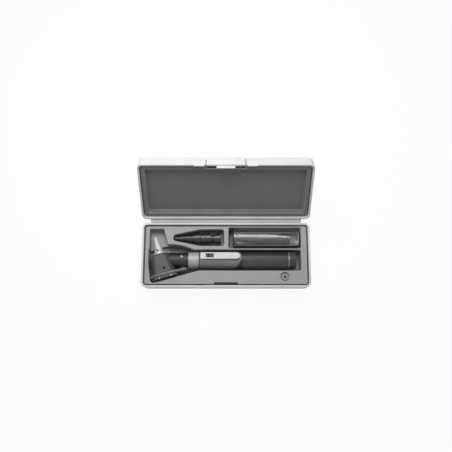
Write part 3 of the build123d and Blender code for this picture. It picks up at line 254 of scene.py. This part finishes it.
@dataclass(frozen=True)
class Moulded:
    """Moulded plastic or rubber: fine grain, slight mottling, softened edges made lighter, partly as rubbed
    plastic and partly as a painted highlight.

    Args:
        name: Material name.
        colour: Screen colour of the plastic.
        roughness: Middle roughness.
        grain: Grain size in metres.
        depth: Grain depth in metres.
        edge: Radius of the softened edges in metres.
        wear_and_edge_highlight: How much lighter the edges are: partly rubbed plastic, partly a painted
            highlight where the edges catch the light.
        mottle: Strength of the broad colour variation.
        coat: Clear gloss over the surface.
    """

    name: str
    colour: tuple[int, int, int]
    roughness: float = 0.45
    grain: float = 0.0005
    depth: float = 0.00002
    edge: float = 0.0004
    wear_and_edge_highlight: float = 0.12
    mottle: float = 0.05
    coat: float = 0.0

    BROAD_WAVES = 35.0  # mottling, in waves per metre
    DETAIL = 3.0
    STRETCH, SHIFT = 2.5, 0.75  # bring the noise's range to 0 and 1
    EDGE_SHARE = 0.6
    LEVEL = 2.0  # brings the noise's middle to 1
    BROAD_ROUGHNESS, GRAIN_ROUGHNESS, ROUGHNESS_DROP = 0.08, 0.06, 0.06
    COAT_ROUGHNESS = 0.08

    def material(self) -> bpy.types.Material:
        """Build the node material."""
        graph = Graph.material(self.name)
        soft, edge_mask = graph.edges(self.edge)
        broad = graph.noise(self.BROAD_WAVES, self.DETAIL)
        grain = graph.noise(1.0 / self.grain, self.DETAIL)
        base = tone(*self.colour)
        dark = tuple(channel * (1 - 2 * self.mottle) for channel in base[:3]) + (1.0,)
        # Edge tone: partly rubbed plastic, partly a painted highlight along the sharp edges.
        light = tuple(min(channel + self.wear_and_edge_highlight * (1 - channel), 1.0) for channel in base[:3]) + (1.0,)
        mottled = graph.blend((broad * self.STRETCH - self.SHIFT).clamped(), dark, base)
        colour = graph.blend(edge_mask * self.EDGE_SHARE * broad * self.LEVEL, mottled, light)
        low = self.roughness - self.ROUGHNESS_DROP
        rough = (low + broad * self.BROAD_ROUGHNESS + grain * self.GRAIN_ROUGHNESS).clamped()
        shader = graph.node("ShaderNodeBsdfPrincipled", values={
            "Base Color": colour, "Roughness": rough, "Coat Weight": self.coat,
            "Coat Roughness": self.COAT_ROUGHNESS, "Normal": graph.bump(grain, self.depth, soft),
        })
        return graph.finish(shader)


@dataclass(frozen=True)
class Worked:
    """Turned, brushed or polished metal with fine lines, slight tarnish and a painted highlight along its
    sharp edges.

    Args:
        name: Material name.
        colour: Screen colour of the metal.
        roughness: Middle roughness.
        along: Which way the lines run.
        depth: Depth of the lines in metres.
        line: Width of a line in metres.
        edge: Radius of the softened edges in metres.
        metallic: Share of metal in the surface.
        tarnish: How much the finish darkens in its dull patches.
    """

    name: str
    colour: tuple[int, int, int]
    roughness: float = 0.28
    along: Along = Along.LENGTH
    depth: float = 0.000008
    line: float = 0.00022
    edge: float = 0.0003
    metallic: float = 1.0
    tarnish: float = 0.18

    CLOUD_WAVES = 120.0  # dull patches, in waves per metre
    CLOUD_DETAIL, LINE_DETAIL = 3.0, 2.0
    CLOUD_WEIGHT, SHIFT = 2.0, 1.0  # of the patches beside the lines, and to bring both to 0
    EDGE_GAIN, EDGE_SHARE = 1.15, 0.7
    LINE_ROUGHNESS, CLOUD_ROUGHNESS, ROUGHNESS_DROP = 0.1, 0.08, 0.08

    def material(self) -> bpy.types.Material:
        """Build the node material."""
        graph = Graph.material(self.name)
        soft, edge_mask = graph.edges(self.edge)
        lines = graph.noise(1.0 / self.line, self.LINE_DETAIL, self.along)
        cloud = graph.noise(self.CLOUD_WAVES, self.CLOUD_DETAIL)
        base = tone(*self.colour)
        dull = tuple(channel * (1 - self.tarnish) for channel in base[:3]) + (1.0,)
        # Lighter tone along the sharp edges: a painted highlight where they catch the light.
        painted_edge_highlight = tuple(min(channel * self.EDGE_GAIN, 1.0) for channel in base[:3]) + (1.0,)
        lined = graph.blend((lines + cloud * self.CLOUD_WEIGHT - self.SHIFT).clamped(), dull, base)
        colour = graph.blend(edge_mask * self.EDGE_SHARE, lined, painted_edge_highlight)
        low = self.roughness - self.ROUGHNESS_DROP
        rough = (low + lines * self.LINE_ROUGHNESS + cloud * self.CLOUD_ROUGHNESS).clamped()
        shader = graph.node("ShaderNodeBsdfPrincipled", values={
            "Base Color": colour, "Metallic": self.metallic, "Roughness": rough,
            "Normal": graph.bump(lines, self.depth, soft),
        })
        return graph.finish(shader)


@dataclass(frozen=True)
class Clear:
    """Clear plastic or glass: see-through, with reflections that grow at the edges and faint scuffs.

    Args:
        name: Material name.
        tint: Screen colour of the light that passes.
        gloss: Reflection straight on.
        roughness: Roughness of the reflection.
        haze: Share of a pale film over the surface.
        edge_haze: How much that share grows where the surface turns away.
        index: Refractive index, which sets how the reflection grows.
    """

    name: str
    tint: tuple[int, int, int] = (236, 240, 238)
    gloss: float = 0.08
    roughness: float = 0.08
    haze: float = 0.05
    edge_haze: float = 0.0
    index: float = 1.5

    SCUFF_WAVES, SCUFF_DETAIL = 900.0, 4.0
    FILM_ROUGHNESS, MIRROR_ROUGHNESS = 0.06, 0.05
    FILM_INDEX = 1.5
    FILM_DARK, FILM_LIGHT = (200, 204, 203), (222, 225, 224)
    MIRROR = (250, 252, 252)
    FACING_BLEND = 0.35
    LEVEL = 2.0  # brings the noise's middle to 1

    def material(self) -> bpy.types.Material:
        """Build the node material."""
        graph = Graph.material(self.name)
        scuff = graph.noise(self.SCUFF_WAVES, self.SCUFF_DETAIL)
        through = graph.node("ShaderNodeBsdfTransparent", values={"Color": tone(*self.tint)})
        film = graph.node("ShaderNodeBsdfPrincipled", values={
            "Base Color": graph.blend(scuff, tone(*self.FILM_DARK), tone(*self.FILM_LIGHT)),
            "Roughness": (self.roughness + scuff * self.FILM_ROUGHNESS).clamped(),
            "Metallic": 0.0, "IOR": self.FILM_INDEX,
        })
        mirror = graph.node("ShaderNodeBsdfPrincipled", values={
            "Base Color": tone(*self.MIRROR), "Metallic": 1.0,
            "Roughness": (self.roughness + scuff * self.MIRROR_ROUGHNESS).clamped(),
        })
        rim = graph.node("ShaderNodeFresnel", values={"IOR": self.index})
        turned = graph.node("ShaderNodeLayerWeight", values={"Blend": self.FACING_BLEND}, result="Facing")
        veil = scuff * self.haze * self.LEVEL + turned * turned * self.edge_haze
        hazed = graph.node("ShaderNodeMixShader", values={0: veil.clamped(), 1: through, 2: film})
        both = graph.node("ShaderNodeMixShader", values={
            0: (rim + self.gloss).clamped(), 1: hazed, 2: mirror,
        })
        return graph.finish(both)


class Palette:
    """Every finish of the case and its instruments, made once and shared by name."""

    FINISHES = (
        # The fifth number of each Moulded finish makes its edges lighter: partly rubbed plastic, partly a
        # painted highlight. The high values of the liner, grip and tips are mostly painted highlight along
        # recess edges, flute lands and flange rims.
        Moulded("shell_plastic", (217, 219, 213), 0.42, 0.0006, 0.000015, 0.0005, 0.15),
        # Darker grey of the sleeves on the strap's fold lines: painted shade of the hinge grooves.
        Moulded("hinge_groove_shade", (150, 156, 149), 0.5, 0.0006, 0.000015, 0.0003, 0.1),
        Moulded("tray_plastic", (153, 158, 155), 0.5, 0.0007, 0.00003, 0.0008, 0.3),
        # Same grey plastic as the tray, set darker to paint the shade that the open lid's liner sits in,
        # facing away from the light.
        Moulded("liner_plastic", (112, 117, 115), 0.55, 0.0007, 0.00003, 0.0009, 0.9),
        Moulded("grip_plastic", (24, 26, 27), 0.42, 0.0004, 0.00001, 0.0004, 0.4),
        Moulded("cap_plastic", (30, 32, 33), 0.42, 0.0004, 0.00001, 0.0003, 0.12),
        Moulded("neck_plastic", (9, 10, 10), 0.5, 0.0004, 0.00001, 0.0003, 0.06),
        Moulded("head_plastic", (64, 65, 64), 0.45, 0.0004, 0.000008, 0.0006, 0.12),
        Moulded("screw_black", (4, 4, 4), 0.8, 0.0004, 0.000008, 0.0002, 0.02),
        Moulded("tip_plastic", (20, 21, 20), 0.32, 0.0005, 0.000006, 0.0005, 0.3, coat=0.15),
        Moulded("thin_tip_plastic", (7, 8, 9), 0.4, 0.0005, 0.000006, 0.0003, 0.1),
        Moulded("frame_plastic", (112, 114, 112), 0.4, 0.0005, 0.00003, 0.0004, 0.3, coat=0.1),
        Moulded("slider_plastic", (26, 27, 26), 0.5, 0.0003, 0.00001, 0.0002, 0.2),
        Moulded("stopper_plastic", (40, 42, 42), 0.5, 0.0005, 0.00001, 0.0004, 0.1),
        Moulded("seal_rubber", (24, 24, 24), 0.75, 0.0004, 0.00002, 0.0001, 0.05),
        Moulded("cell_film", (40, 48, 66), 0.3, 0.002, 0.000004, 0.0002, 0.2, coat=0.5),
        Moulded("bush_plastic", (14, 14, 14), 0.55, 0.0005, 0.00001, 0.0002, 0.1),
        Worked("collar_metal", (166, 168, 164), 0.5, Along.ROUND, metallic=0.2),
        Worked("clip_metal", (190, 190, 185), 0.5, Along.LENGTH, metallic=0.25),
        Worked("sleeve_metal", (122, 125, 121), 0.5, Along.ROUND, metallic=0.25, tarnish=0.3),
        Worked("nose_metal", (196, 199, 197), 0.5, Along.EVEN, metallic=0.2),
        Worked("ring_metal", (206, 208, 206), 0.4, Along.ROUND, metallic=0.3),
        Worked("barrel_metal", (150, 152, 151), 0.4, Along.ROUND, metallic=0.5),
        Worked("bright_ring", (176, 178, 177), 0.3, Along.ROUND, metallic=0.6),
        Worked("bulb_metal", (130, 133, 132), 0.55, Along.EVEN, metallic=0.4),
        Worked("tube_metal", (170, 172, 172), 0.35, Along.ROUND),
        Worked("brass", (206, 170, 96), 0.3, Along.ROUND),
        Worked("spring_wire", (180, 182, 184), 0.25, Along.EVEN),
        Clear("clear_tube", (250, 251, 250), 0.0, 0.02, 0.015, 0.4, 1.45),
        Clear("clear_lens", (214, 219, 217), 0.02, 0.12, 0.1, 0.45),
        Clear("bulb_envelope", (244, 246, 244), 0.06, 0.05, 0.02),
        Clear("fibre_rod", (240, 240, 226), 0.15, 0.05, 0.2),
    )

    def __init__(self) -> None:
        """Build every material."""
        self.made = {finish.name: finish.material() for finish in self.FINISHES}

    def dress(self, piece: bpy.types.Object, finish: str) -> None:
        """Give a piece one finish all over.

        Args:
            piece: Object to dress.
            finish: Name of the finish.
        """
        piece.data.materials.clear()
        piece.data.materials.append(self.made[finish])

    def dress_nodes(self, finishes: dict[str, str]) -> None:
        """Give solids their finishes.

        Args:
            finishes: Node name to the name of its finish.
        """
        for node, finish in finishes.items():
            self.dress(frame["nodes"][node], finish)
            LOG.info("%s: %s", node, finish)


class Bench:
    """One new piece while Blender's own operators shape it."""

    SMOOTH_ANGLE = math.radians(35)  # edges that turn more than this stay sharp
    HOOP_SIDES = 96

    def __init__(self, name: str) -> None:
        """Take the object that an operator has just added."""
        self.piece = bpy.context.object
        self.piece.name = name
        self.piece.data.name = name

    @classmethod
    def hoop(cls, name: str, radius: float, width: float, sides: int = HOOP_SIDES) -> "Bench":
        """Start a piece as an open hoop about Z, centred on the origin.

        Args:
            name: Name of the piece.
            radius: Radius of the hoop.
            width: Width of the hoop along Z.
            sides: How many flat sides it has.

        Returns:
            The bench with the hoop on it.
        """
        cls.clear()
        bpy.ops.mesh.primitive_circle_add(vertices=sides, radius=radius, location=(0, 0, -width / 2))
        made = cls(name)
        made.edit()
        bpy.ops.mesh.extrude_region_move(TRANSFORM_OT_translate={"value": (0, 0, width)})
        made.leave()
        return made

    @classmethod
    def bar(cls, name: str, size: Triple, place: Triple = (0.0, 0.0, 0.0)) -> "Bench":
        """Start a piece as a bar.

        Args:
            name: Name of the piece.
            size: Size of the bar.
            place: Middle of the bar.

        Returns:
            The bench with the bar on it.
        """
        cls.clear()
        bpy.ops.mesh.primitive_cube_add(size=1, location=place, scale=size)
        return cls(name)

    @classmethod
    def copy_of(cls, name: str, node: str, weld: float) -> "Bench":
        """Start a piece as a copy of a solid, with its vertices joined so that it is closed.

        Args:
            name: Name of the piece.
            node: Node whose solid is copied.
            weld: Distance within which vertices are one.

        Returns:
            The bench with the copy on it.
        """
        cls.clear()
        twin = bpy.data.objects.new(name, frame["nodes"][node].data.copy())
        bpy.context.scene.collection.objects.link(twin)
        twin.select_set(True)
        bpy.context.view_layer.objects.active = twin
        made = cls(name)
        made.edit()
        bpy.ops.mesh.remove_doubles(threshold=weld)
        made.leave()
        return made

    @staticmethod
    def clear() -> None:
        """Leave nothing selected."""
        bpy.ops.object.select_all(action="DESELECT")

    def edit(self) -> None:
        """Go into edit mode with all of the piece selected."""
        self.enter()
        bpy.ops.mesh.select_all(action="SELECT")

    def enter(self, element: str | None = None) -> None:
        """Go into edit mode with what is selected already.

        Args:
            element: Blender's name of the element to select by, if that changes.
        """
        bpy.ops.object.mode_set(mode="EDIT")
        if element:
            bpy.ops.mesh.select_mode(type=element)

    def leave(self) -> None:
        """Go back to object mode."""
        bpy.ops.object.mode_set(mode="OBJECT")

    def alone(self) -> None:
        """Select this piece and nothing else."""
        self.clear()
        self.piece.select_set(True)
        bpy.context.view_layer.objects.active = self.piece

    def refine(self, kind: str, **settings: float | int | str | bool | bpy.types.Object) -> "Bench":
        """Add a modifier and apply it.

        Args:
            kind: Blender's type of the modifier.
            settings: The modifier's properties.

        Returns:
            This bench.
        """
        self.alone()
        modifier = self.piece.modifiers.new(kind.lower(), kind)
        for key, value in settings.items():
            setattr(modifier, key, value)
        bpy.ops.object.modifier_apply(modifier=modifier.name)
        return self

    def soften(self, width: float, segments: int = 3) -> "Bench":
        """Round the piece's sharp edges.

        Args:
            width: Width of the rounding.
            segments: How many faces go round it.

        Returns:
            This bench.
        """
        return self.refine("BEVEL", width=width, segments=segments, limit_method="ANGLE")

    def move(self, matrix: Matrix) -> "Bench":
        """Carry the piece to its place, leaving its object at the origin.

        Args:
            matrix: The move and turn.

        Returns:
            This bench.
        """
        self.alone()
        self.piece.matrix_world = matrix @ self.piece.matrix_world
        bpy.ops.object.transform_apply(location=True, rotation=True, scale=True)
        return self

    def repeat(self, matrices: list[Matrix]) -> "Bench":
        """Turn the piece into copies of itself, as one mesh.

        Args:
            matrices: Place and turn of each copy.

        Returns:
            The bench with all copies on it.
        """
        self.move(Matrix.Identity(4))
        self.clear()
        for matrix in matrices:
            twin = bpy.data.objects.new(self.piece.name, self.piece.data.copy())
            bpy.context.scene.collection.objects.link(twin)
            twin.data.transform(matrix)
            twin.select_set(True)
        name = self.piece.name
        bpy.data.objects.remove(self.piece)
        bpy.context.view_layer.objects.active = bpy.context.selected_objects[0]
        bpy.ops.object.join()
        return Bench(name)

    def hand_over(self, palette: "Palette", finish: str, body: str, slot: str) -> bpy.types.Object:
        """Smooth and dress the finished piece, and attach it to its body.

        Args:
            palette: The shared finishes.
            finish: Name of the finish.
            body: Body that the piece moves with.
            slot: The record's slot that it belongs to; not used.

        Returns:
            The finished piece.
        """
        self.move(Matrix.Identity(4))
        bpy.ops.object.shade_smooth_by_angle(angle=self.SMOOTH_ANGLE)
        self.refine("WEIGHTED_NORMAL", keep_sharp=True)
        palette.dress(self.piece, finish)
        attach(self.piece, body)
        faces = len(self.piece.data.polygons)
        LOG.info("%s: %s faces, rides on %s", self.piece.name, faces, body)
        return self.piece


def centre(node: str) -> Vector:
    """Middle of a solid's box.

    Args:
        node: Node name of the solid.

    Returns:
        The box's middle.
    """
    low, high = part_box(node)
    return (low + high) / 2


@dataclass
class CarryCase:
    """Shells, hinge, latch, tray and liner.

    Args:
        palette: The shared finishes.
        groove_shade_radius: Radius of the dark sleeves along the strap's fold lines, painted shade of the
            hinge grooves.
        groove_shade_inset: How far the sleeves stop short of the strap's ends.
        groove_shade_sides: How many flat sides a sleeve has.
        weld: Distance within which the tray's vertices are one.
        edge_wall: Reach of the tray's outer wall inwards from its side.
        edge_corner: Size of the square that holds each of its outer corners.
        edge_pull: How far that wall is drawn in, which widens the dark gap round the tray.
        level: Least upward share of a level face's normal.
    """

    palette: Palette
    groove_shade_radius: float = 0.66 * MM
    groove_shade_inset: float = 0.6 * MM
    groove_shade_sides: int = 20
    weld: float = 0.01 * MM
    edge_wall: float = 1.5 * MM
    edge_corner: float = 2.6 * MM
    edge_pull: float = 1.0 * MM
    level: float = 0.9999

    def build(self) -> None:
        """Dress the case and model what its solids lack."""
        shells = ("base_shell", "lid_shell", "hinge_strap", "latch_tongue")
        self.palette.dress_nodes({node: "shell_plastic" for node in shells})
        self.palette.dress_nodes({"lid_liner": "liner_plastic"})
        self.add_tray()
        # Dark sleeves along the strap's two fold lines: painted shade of the hinge grooves.
        for joint, name in (("lid_fold", "lower_hinge_web"), ("lid_fold_upper", "upper_hinge_web")):
            self.add_groove_shade(name, self.joint_place(joint))

    def add_tray(self) -> None:
        """The tray as the one moulding that it is, without the seams between its solids."""
        nodes = [node for node in frame["nodes"] if node.startswith("tray_")]
        bench = Bench.copy_of("moulded_tray", "base_tray", self.weld)
        for node in nodes:
            twin = Bench.copy_of("twin", node, self.weld)
            bench.refine("BOOLEAN", operation="UNION", solver="EXACT", object=twin.piece)
            bpy.data.objects.remove(twin.piece)
        bench.alone()
        places = [vertex.co for vertex in bench.piece.data.vertices]
        reach = max(place.x for place in places), max(place.y for place in places)
        for axis in (0, 1):
            for side in (-1, 1):
                self.pull_edge(bench, axis, side, reach)
        self.keep_flat(bench)
        piece = bench.hand_over(self.palette, "tray_plastic", "base", "tray_plastic")
        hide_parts("base_tray", *nodes)

    def pull_edge(self, bench: Bench, axis: int, side: int, reach: tuple[float, float]) -> None:
        """Draw one side of the tray's outer wall in, with the corners at its ends.

        Args:
            bench: Bench with the tray on it.
            axis: 0 for the left and right sides, 1 for front and back.
            side: 1 for the side towards plus, -1 for the other.
            reach: Half length and half depth of the tray.
        """
        for vertex in bench.piece.data.vertices:
            place = [abs(vertex.co[index]) for index in (0, 1)]
            near = place[axis] > reach[axis] - self.edge_wall
            corner = all(place[index] > reach[index] - self.edge_corner for index in (0, 1))
            vertex.select = (near or corner) and vertex.co[axis] * side > 0
        bench.enter("VERT")
        shift = [0.0, 0.0, 0.0]
        shift[axis] = -side * self.edge_pull
        bpy.ops.transform.translate(value=shift)
        bench.leave()

    def keep_flat(self, bench: Bench) -> None:
        """Mark the outline of every level face, so that rounded edges don't shade across it.

        Args:
            bench: Bench with the tray on it.
        """
        bench.enter("FACE")
        bpy.ops.mesh.select_all(action="DESELECT")
        bench.leave()
        for face in bench.piece.data.polygons:
            face.select = face.normal.z > self.level
        bench.enter()
        bpy.ops.mesh.region_to_loop()
        bpy.ops.mesh.mark_sharp()
        bench.leave()

    @staticmethod
    def joint_place(joint: str) -> Vector:
        """Where a joint's axis passes at rest.

        Args:
            joint: Name of the joint.

        Returns:
            The point that the record gives.
        """
        found = [entry for entry in frame["record"]["behaviour"]["joints"] if entry["name"] == joint]
        return Vector(found[0]["pos_m"])

    def add_groove_shade(self, name: str, place: Vector) -> None:
        """Dark sleeve along one fold line of the strap: painted shade of the hinge groove.

        Args:
            name: Name of the sleeve.
            place: Point on the fold line.
        """
        low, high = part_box("hinge_strap")
        length = high.x - low.x - 2 * self.groove_shade_inset
        bench = Bench.hoop(name, self.groove_shade_radius, length, self.groove_shade_sides)
        bench.edit()
        bpy.ops.mesh.select_non_manifold()
        bpy.ops.mesh.edge_face_add()
        bench.leave()
        bench.soften(self.groove_shade_radius / 4, 2)
        bench.move(Matrix.Translation((0, place.y, place.z)) @ Matrix.Rotation(math.pi / 2, 4, "Y"))
        bench.hand_over(self.palette, "hinge_groove_shade", "strap", "case_plastic")


@dataclass
class Otoscope:
    """Handle, clip, switch, head and window.

    Args:
        palette: The shared finishes.
        seal_radius: Outside radius of the seal between collar and sleeve.
        seal_width: Width of that seal.
        line_radius: Outside radius of the fine dark line on the collar.
        line_width: Width of that line.
        line_setback: Distance of the line from the seal.
        head_place: Where the head's line of sight crosses the handle's height.
        head_tilt: Angle of the line of sight to the left of straight back, in degrees.
        window_depth: Distance of the window frame's middle in front of that place.
        window_left: Left end of the frame, across the line of sight.
        window_size: Width and height of the frame.
        window_corner: Radius of its rounded ends.
        tab_half: Half height of the pivot's tab, which has no ribs.
        rib_pitch: Distance between the ribs on the frame's rim.
        rib_size: Width, height and length of one rib.
    """

    palette: Palette
    seal_radius: float = 10.1 * MM
    seal_width: float = 0.8 * MM
    line_radius: float = 9.7 * MM
    line_width: float = 0.3 * MM
    line_setback: float = 1.5 * MM
    head_place: Triple = (-79.8 * MM, 2.6 * MM, 18.0 * MM)
    head_tilt: float = 15.5
    window_depth: float = -26.45 * MM
    window_left: float = -16.5 * MM
    window_size: tuple[float, float] = (34.0 * MM, 23.0 * MM)
    window_corner: float = 10.0 * MM
    tab_half: float = 6.5 * MM
    rib_pitch: float = 1.25 * MM
    rib_size: Triple = (0.55 * MM, 0.5 * MM, 2.0 * MM)

    def build(self) -> None:
        """Dress the otoscope and model what its solids lack."""
        self.palette.dress_nodes({
            "handle_collar": "collar_metal", "contact_insulator": "bush_plastic", "contact_pin": "brass",
            "handle_tube": "tube_metal", "handle_sleeve": "sleeve_metal", "handle_grip": "grip_plastic",
            "barrel_ring": "barrel_metal", "cap_gasket": "seal_rubber", "end_cap": "cap_plastic",
            "spring_seat": "brass", "cap_spring": "spring_wire", "battery_front": "cell_film",
            "battery_rear": "cell_film", "pocket_clip": "clip_metal", "switch_frame": "bush_plastic",
            "switch_slider": "slider_plastic", "head_shell": "head_plastic", "head_screw": "screw_black",
            "head_neck": "neck_plastic", "head_coupling": "tube_metal", "insufflation_port": "bright_ring",
            "nose_ring": "ring_metal", "nose_cone": "nose_metal", "light_guide": "fibre_rod",
            "window_frame": "frame_plastic", "window_lens": "clear_lens", "pivot_screw": "bulb_metal",
            "lamp_can": "bulb_metal", "lamp_contact": "screw_black", "lamp_glass": "bulb_envelope",
        })
        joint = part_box("handle_sleeve")[0].x
        self.add_band("collar_seal", self.seal_radius, self.seal_width, joint, "seal_rubber")
        line = joint - self.line_setback
        self.add_band("collar_line", self.line_radius, self.line_width, line, "seal_rubber")
        self.add_window_ribs()

    def add_band(self, name: str, radius: float, width: float, place: float, finish: str) -> None:
        """Thin ring round the handle's axis.

        Args:
            name: Name of the ring.
            radius: Outside radius.
            width: Width along the handle, and the ring's thickness.
            place: Where along the handle it lies.
            finish: Name of its finish.
        """
        middle = centre("barrel_ring")
        bench = Bench.hoop(name, radius, width)
        bench.refine("SOLIDIFY", thickness=width, offset=-1.0)
        bench.soften(width / 4)
        turn = Matrix.Rotation(math.pi / 2, 4, "Y")
        bench.move(Matrix.Translation((place, middle.y, middle.z)) @ turn)
        bench.hand_over(self.palette, finish, "otoscope", "rubber")

    def head_matrix(self) -> Matrix:
        """Frame whose X is across the head, Y is up and Z looks back out of the window."""
        tilt = math.radians(self.head_tilt)
        across = Vector((math.cos(tilt), math.sin(tilt), 0))
        up = Vector((0, 0, 1))
        turn = Matrix((across, up, across.cross(up))).transposed().to_4x4()
        return Matrix.Translation(self.head_place) @ turn

    def rim_stations(self) -> list[Matrix]:
        """Place and turn of every rib round the window frame's rim, clear of the pivot's tab."""
        width, height = self.window_size
        radius = self.window_corner
        flat, side = width - 2 * radius, height - 2 * radius
        arc = math.pi * radius / 2
        runs = (flat, arc, side, arc, flat, arc, side, arc)
        middle = Vector((self.window_left + width / 2, 0, -self.window_depth))
        count = round(sum(runs) / self.rib_pitch)
        stations = []
        for index in range(count):
            left = (index + 0.5) * sum(runs) / count
            point, angle = Vector((-flat / 2, height / 2, 0)), 0.0
            for run, length in enumerate(runs):
                step = min(left, length)
                forward = Vector((math.cos(angle), -math.sin(angle), 0))
                if run % 2:
                    turned = step / radius
                    inward = Vector((-math.sin(angle), -math.cos(angle), 0)) * (1 - math.cos(turned))
                    point = point + (forward * math.sin(turned) + inward) * radius
                    angle += turned
                else:
                    point = point + forward * step
                left -= step
                if left <= 0:
                    break
            if point.x < 0 or abs(point.y) > self.tab_half:
                stations.append(Matrix.Translation(middle + point) @ Matrix.Rotation(-angle, 4, "Z"))
        return stations

    def add_window_ribs(self) -> None:
        """Grip ribs round the rim of the swinging frame."""
        bench = Bench.bar("window_ribs", self.rib_size)
        bench.soften(self.rib_size[0] / 3, 2)
        ribs = bench.repeat([self.head_matrix() @ station for station in self.rim_stations()])
        ribs.hand_over(self.palette, "frame_plastic", "window", "frame_plastic")


@dataclass
class Accessories:
    """Reusable tips, tube of disposable tips and spare bulb.

    Args:
        palette: The shared finishes.
        ribs: How many grip ribs the stopper has.
        rib_size: Width, height and length of one rib.
        rib_setback: Distance of the ribs' middle from the stopper's end.
    """

    palette: Palette
    ribs: int = 40
    rib_size: Triple = (0.5 * MM, 0.5 * MM, 1.0 * MM)
    rib_setback: float = 0.7 * MM

    def build(self) -> None:
        """Dress the accessories and model the stopper's ribs."""
        tips = [node for node in frame["nodes"] if node.startswith("reusable_tip")]
        self.palette.dress_nodes({node: "tip_plastic" for node in tips})
        self.palette.dress_nodes({
            "tube_body": "clear_tube", "tube_plug": "stopper_plastic", "disposable_tips": "thin_tip_plastic",
            "spare_bulb_can": "bulb_metal", "spare_bulb_contact": "screw_black",
            "spare_bulb_glass": "bulb_envelope",
        })
        self.add_stopper_ribs()

    def add_stopper_ribs(self) -> None:
        """Grip ribs round the stopper's flange."""
        low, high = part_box("tube_plug")
        middle = centre("tube_plug")
        radius = (high.z - low.z) / 2 - self.rib_size[1] / 4
        place = Vector((low.x + self.rib_setback, middle.y, middle.z))
        flange = Matrix.Translation(place) @ Matrix.Rotation(math.pi / 2, 4, "Y")
        bench = Bench.bar("stopper_ribs", self.rib_size, (0, radius, 0))
        bench.soften(self.rib_size[0] / 3, 2)
        turns = (Matrix.Rotation(2 * math.pi * index / self.ribs, 4, "Z") for index in range(self.ribs))
        ribs = bench.repeat([flange @ turn for turn in turns])
        ribs.hand_over(self.palette, "stopper_plastic", "plug", "plug_plastic")


@dataclass
class Studio:
    """Floor, light and camera.

    Args:
        camera_place: Camera position in metres.
        clip_start: Least distance that the camera sees.
        elevation: Angle of the view above the floor in degrees.
        focal_share: Focal length as a share of the picture's width.
        sensor: Width of the camera's sensor in millimetres.
        aim: Point that the panel faces.
        key_place: Middle of the soft panel in metres.
        key_size: Side of that panel in metres.
        key_power: Power of that panel in watts.
        sky: Strength of the even light from all round.
        floor_size: Side of the floor in metres.
        floor_level: Height of the floor, just under the case.
        shade_share: How much of the shadow the floor keeps.
    """

    camera_place: Triple = (0.0, -0.1183, 0.7101)
    clip_start: float = 0.01
    elevation: float = 77.4
    focal_share: float = 586 / 452
    sensor: float = 36.0
    aim: Triple = (0.0, 0.0, 0.02)
    key_place: Triple = (-0.04, 0.235, 0.43)
    key_size: float = 0.31
    key_power: float = 1.9
    sky: float = 0.27
    floor_size: float = 6.0
    floor_level: float = -0.2 * MM
    shade_share: float = 0.06

    def build(self) -> None:
        """Set up the whole studio."""
        self.add_floor()
        self.add_panel()
        self.add_sky()
        self.add_camera()
        bpy.context.scene.view_settings.view_transform = "Standard"

    def add_floor(self) -> None:
        """Pale floor under the case that shows white and keeps a faint shadow."""
        Bench.clear()
        bpy.ops.mesh.primitive_plane_add(size=self.floor_size, location=(0, 0, self.floor_level))
        floor = bpy.context.object
        floor.name = "studio_floor"
        graph = Graph.material("studio_floor")
        pale = graph.node("ShaderNodeBsdfDiffuse", values={"Color": PALE})
        white = graph.node("ShaderNodeEmission", values={"Color": WHITE, "Strength": 1.0})
        lit = graph.node("ShaderNodeMixShader", values={0: 1 - self.shade_share, 1: pale, 2: white})
        shown = graph.node("ShaderNodeMixShader", values={0: graph.seen_by_eye(), 1: pale, 2: lit})
        floor.data.materials.append(graph.finish(shown))

    def add_panel(self) -> None:
        """Square soft light that faces the tray."""
        light = bpy.data.lights.new("soft_panel", "AREA")
        light.shape = "SQUARE"
        light.size = self.key_size
        light.energy = self.key_power
        panel = bpy.data.objects.new("soft_panel", light)
        bpy.context.scene.collection.objects.link(panel)
        panel.location = self.key_place
        towards = Vector(self.aim) - panel.location
        panel.rotation_euler = towards.to_track_quat("-Z", "Y").to_euler()

    def add_sky(self) -> None:
        """Even light from all round, seen as white."""
        world = bpy.data.worlds.new("studio_sky")
        bpy.context.scene.world = world
        graph = Graph(world, "ShaderNodeOutputWorld")
        strength = self.sky + graph.seen_by_eye() * (1 - self.sky)
        white = {"Color": WHITE, "Strength": strength}
        graph.finish(graph.node("ShaderNodeBackground", values=white))

    def add_camera(self) -> None:
        """Camera looking down at the open case."""
        data = bpy.data.cameras.new("camera")
        data.sensor_width = self.sensor
        data.lens = self.focal_share * self.sensor
        data.clip_start = self.clip_start
        camera = bpy.data.objects.new("camera", data)
        bpy.context.scene.collection.objects.link(camera)
        camera.location = self.camera_place
        camera.rotation_euler = (math.radians(90 - self.elevation), 0, 0)
        bpy.context.scene.camera = camera


def main() -> None:
    """Build and dress everything."""
    logging.basicConfig(level=logging.INFO, format="%(name)s: %(message)s")
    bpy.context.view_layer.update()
    palette = Palette()
    for part in (CarryCase(palette), Otoscope(palette), Accessories(palette), Studio()):
        part.build()
        LOG.info("built %s", type(part).__name__)


if __name__ == "__main__":
    main()
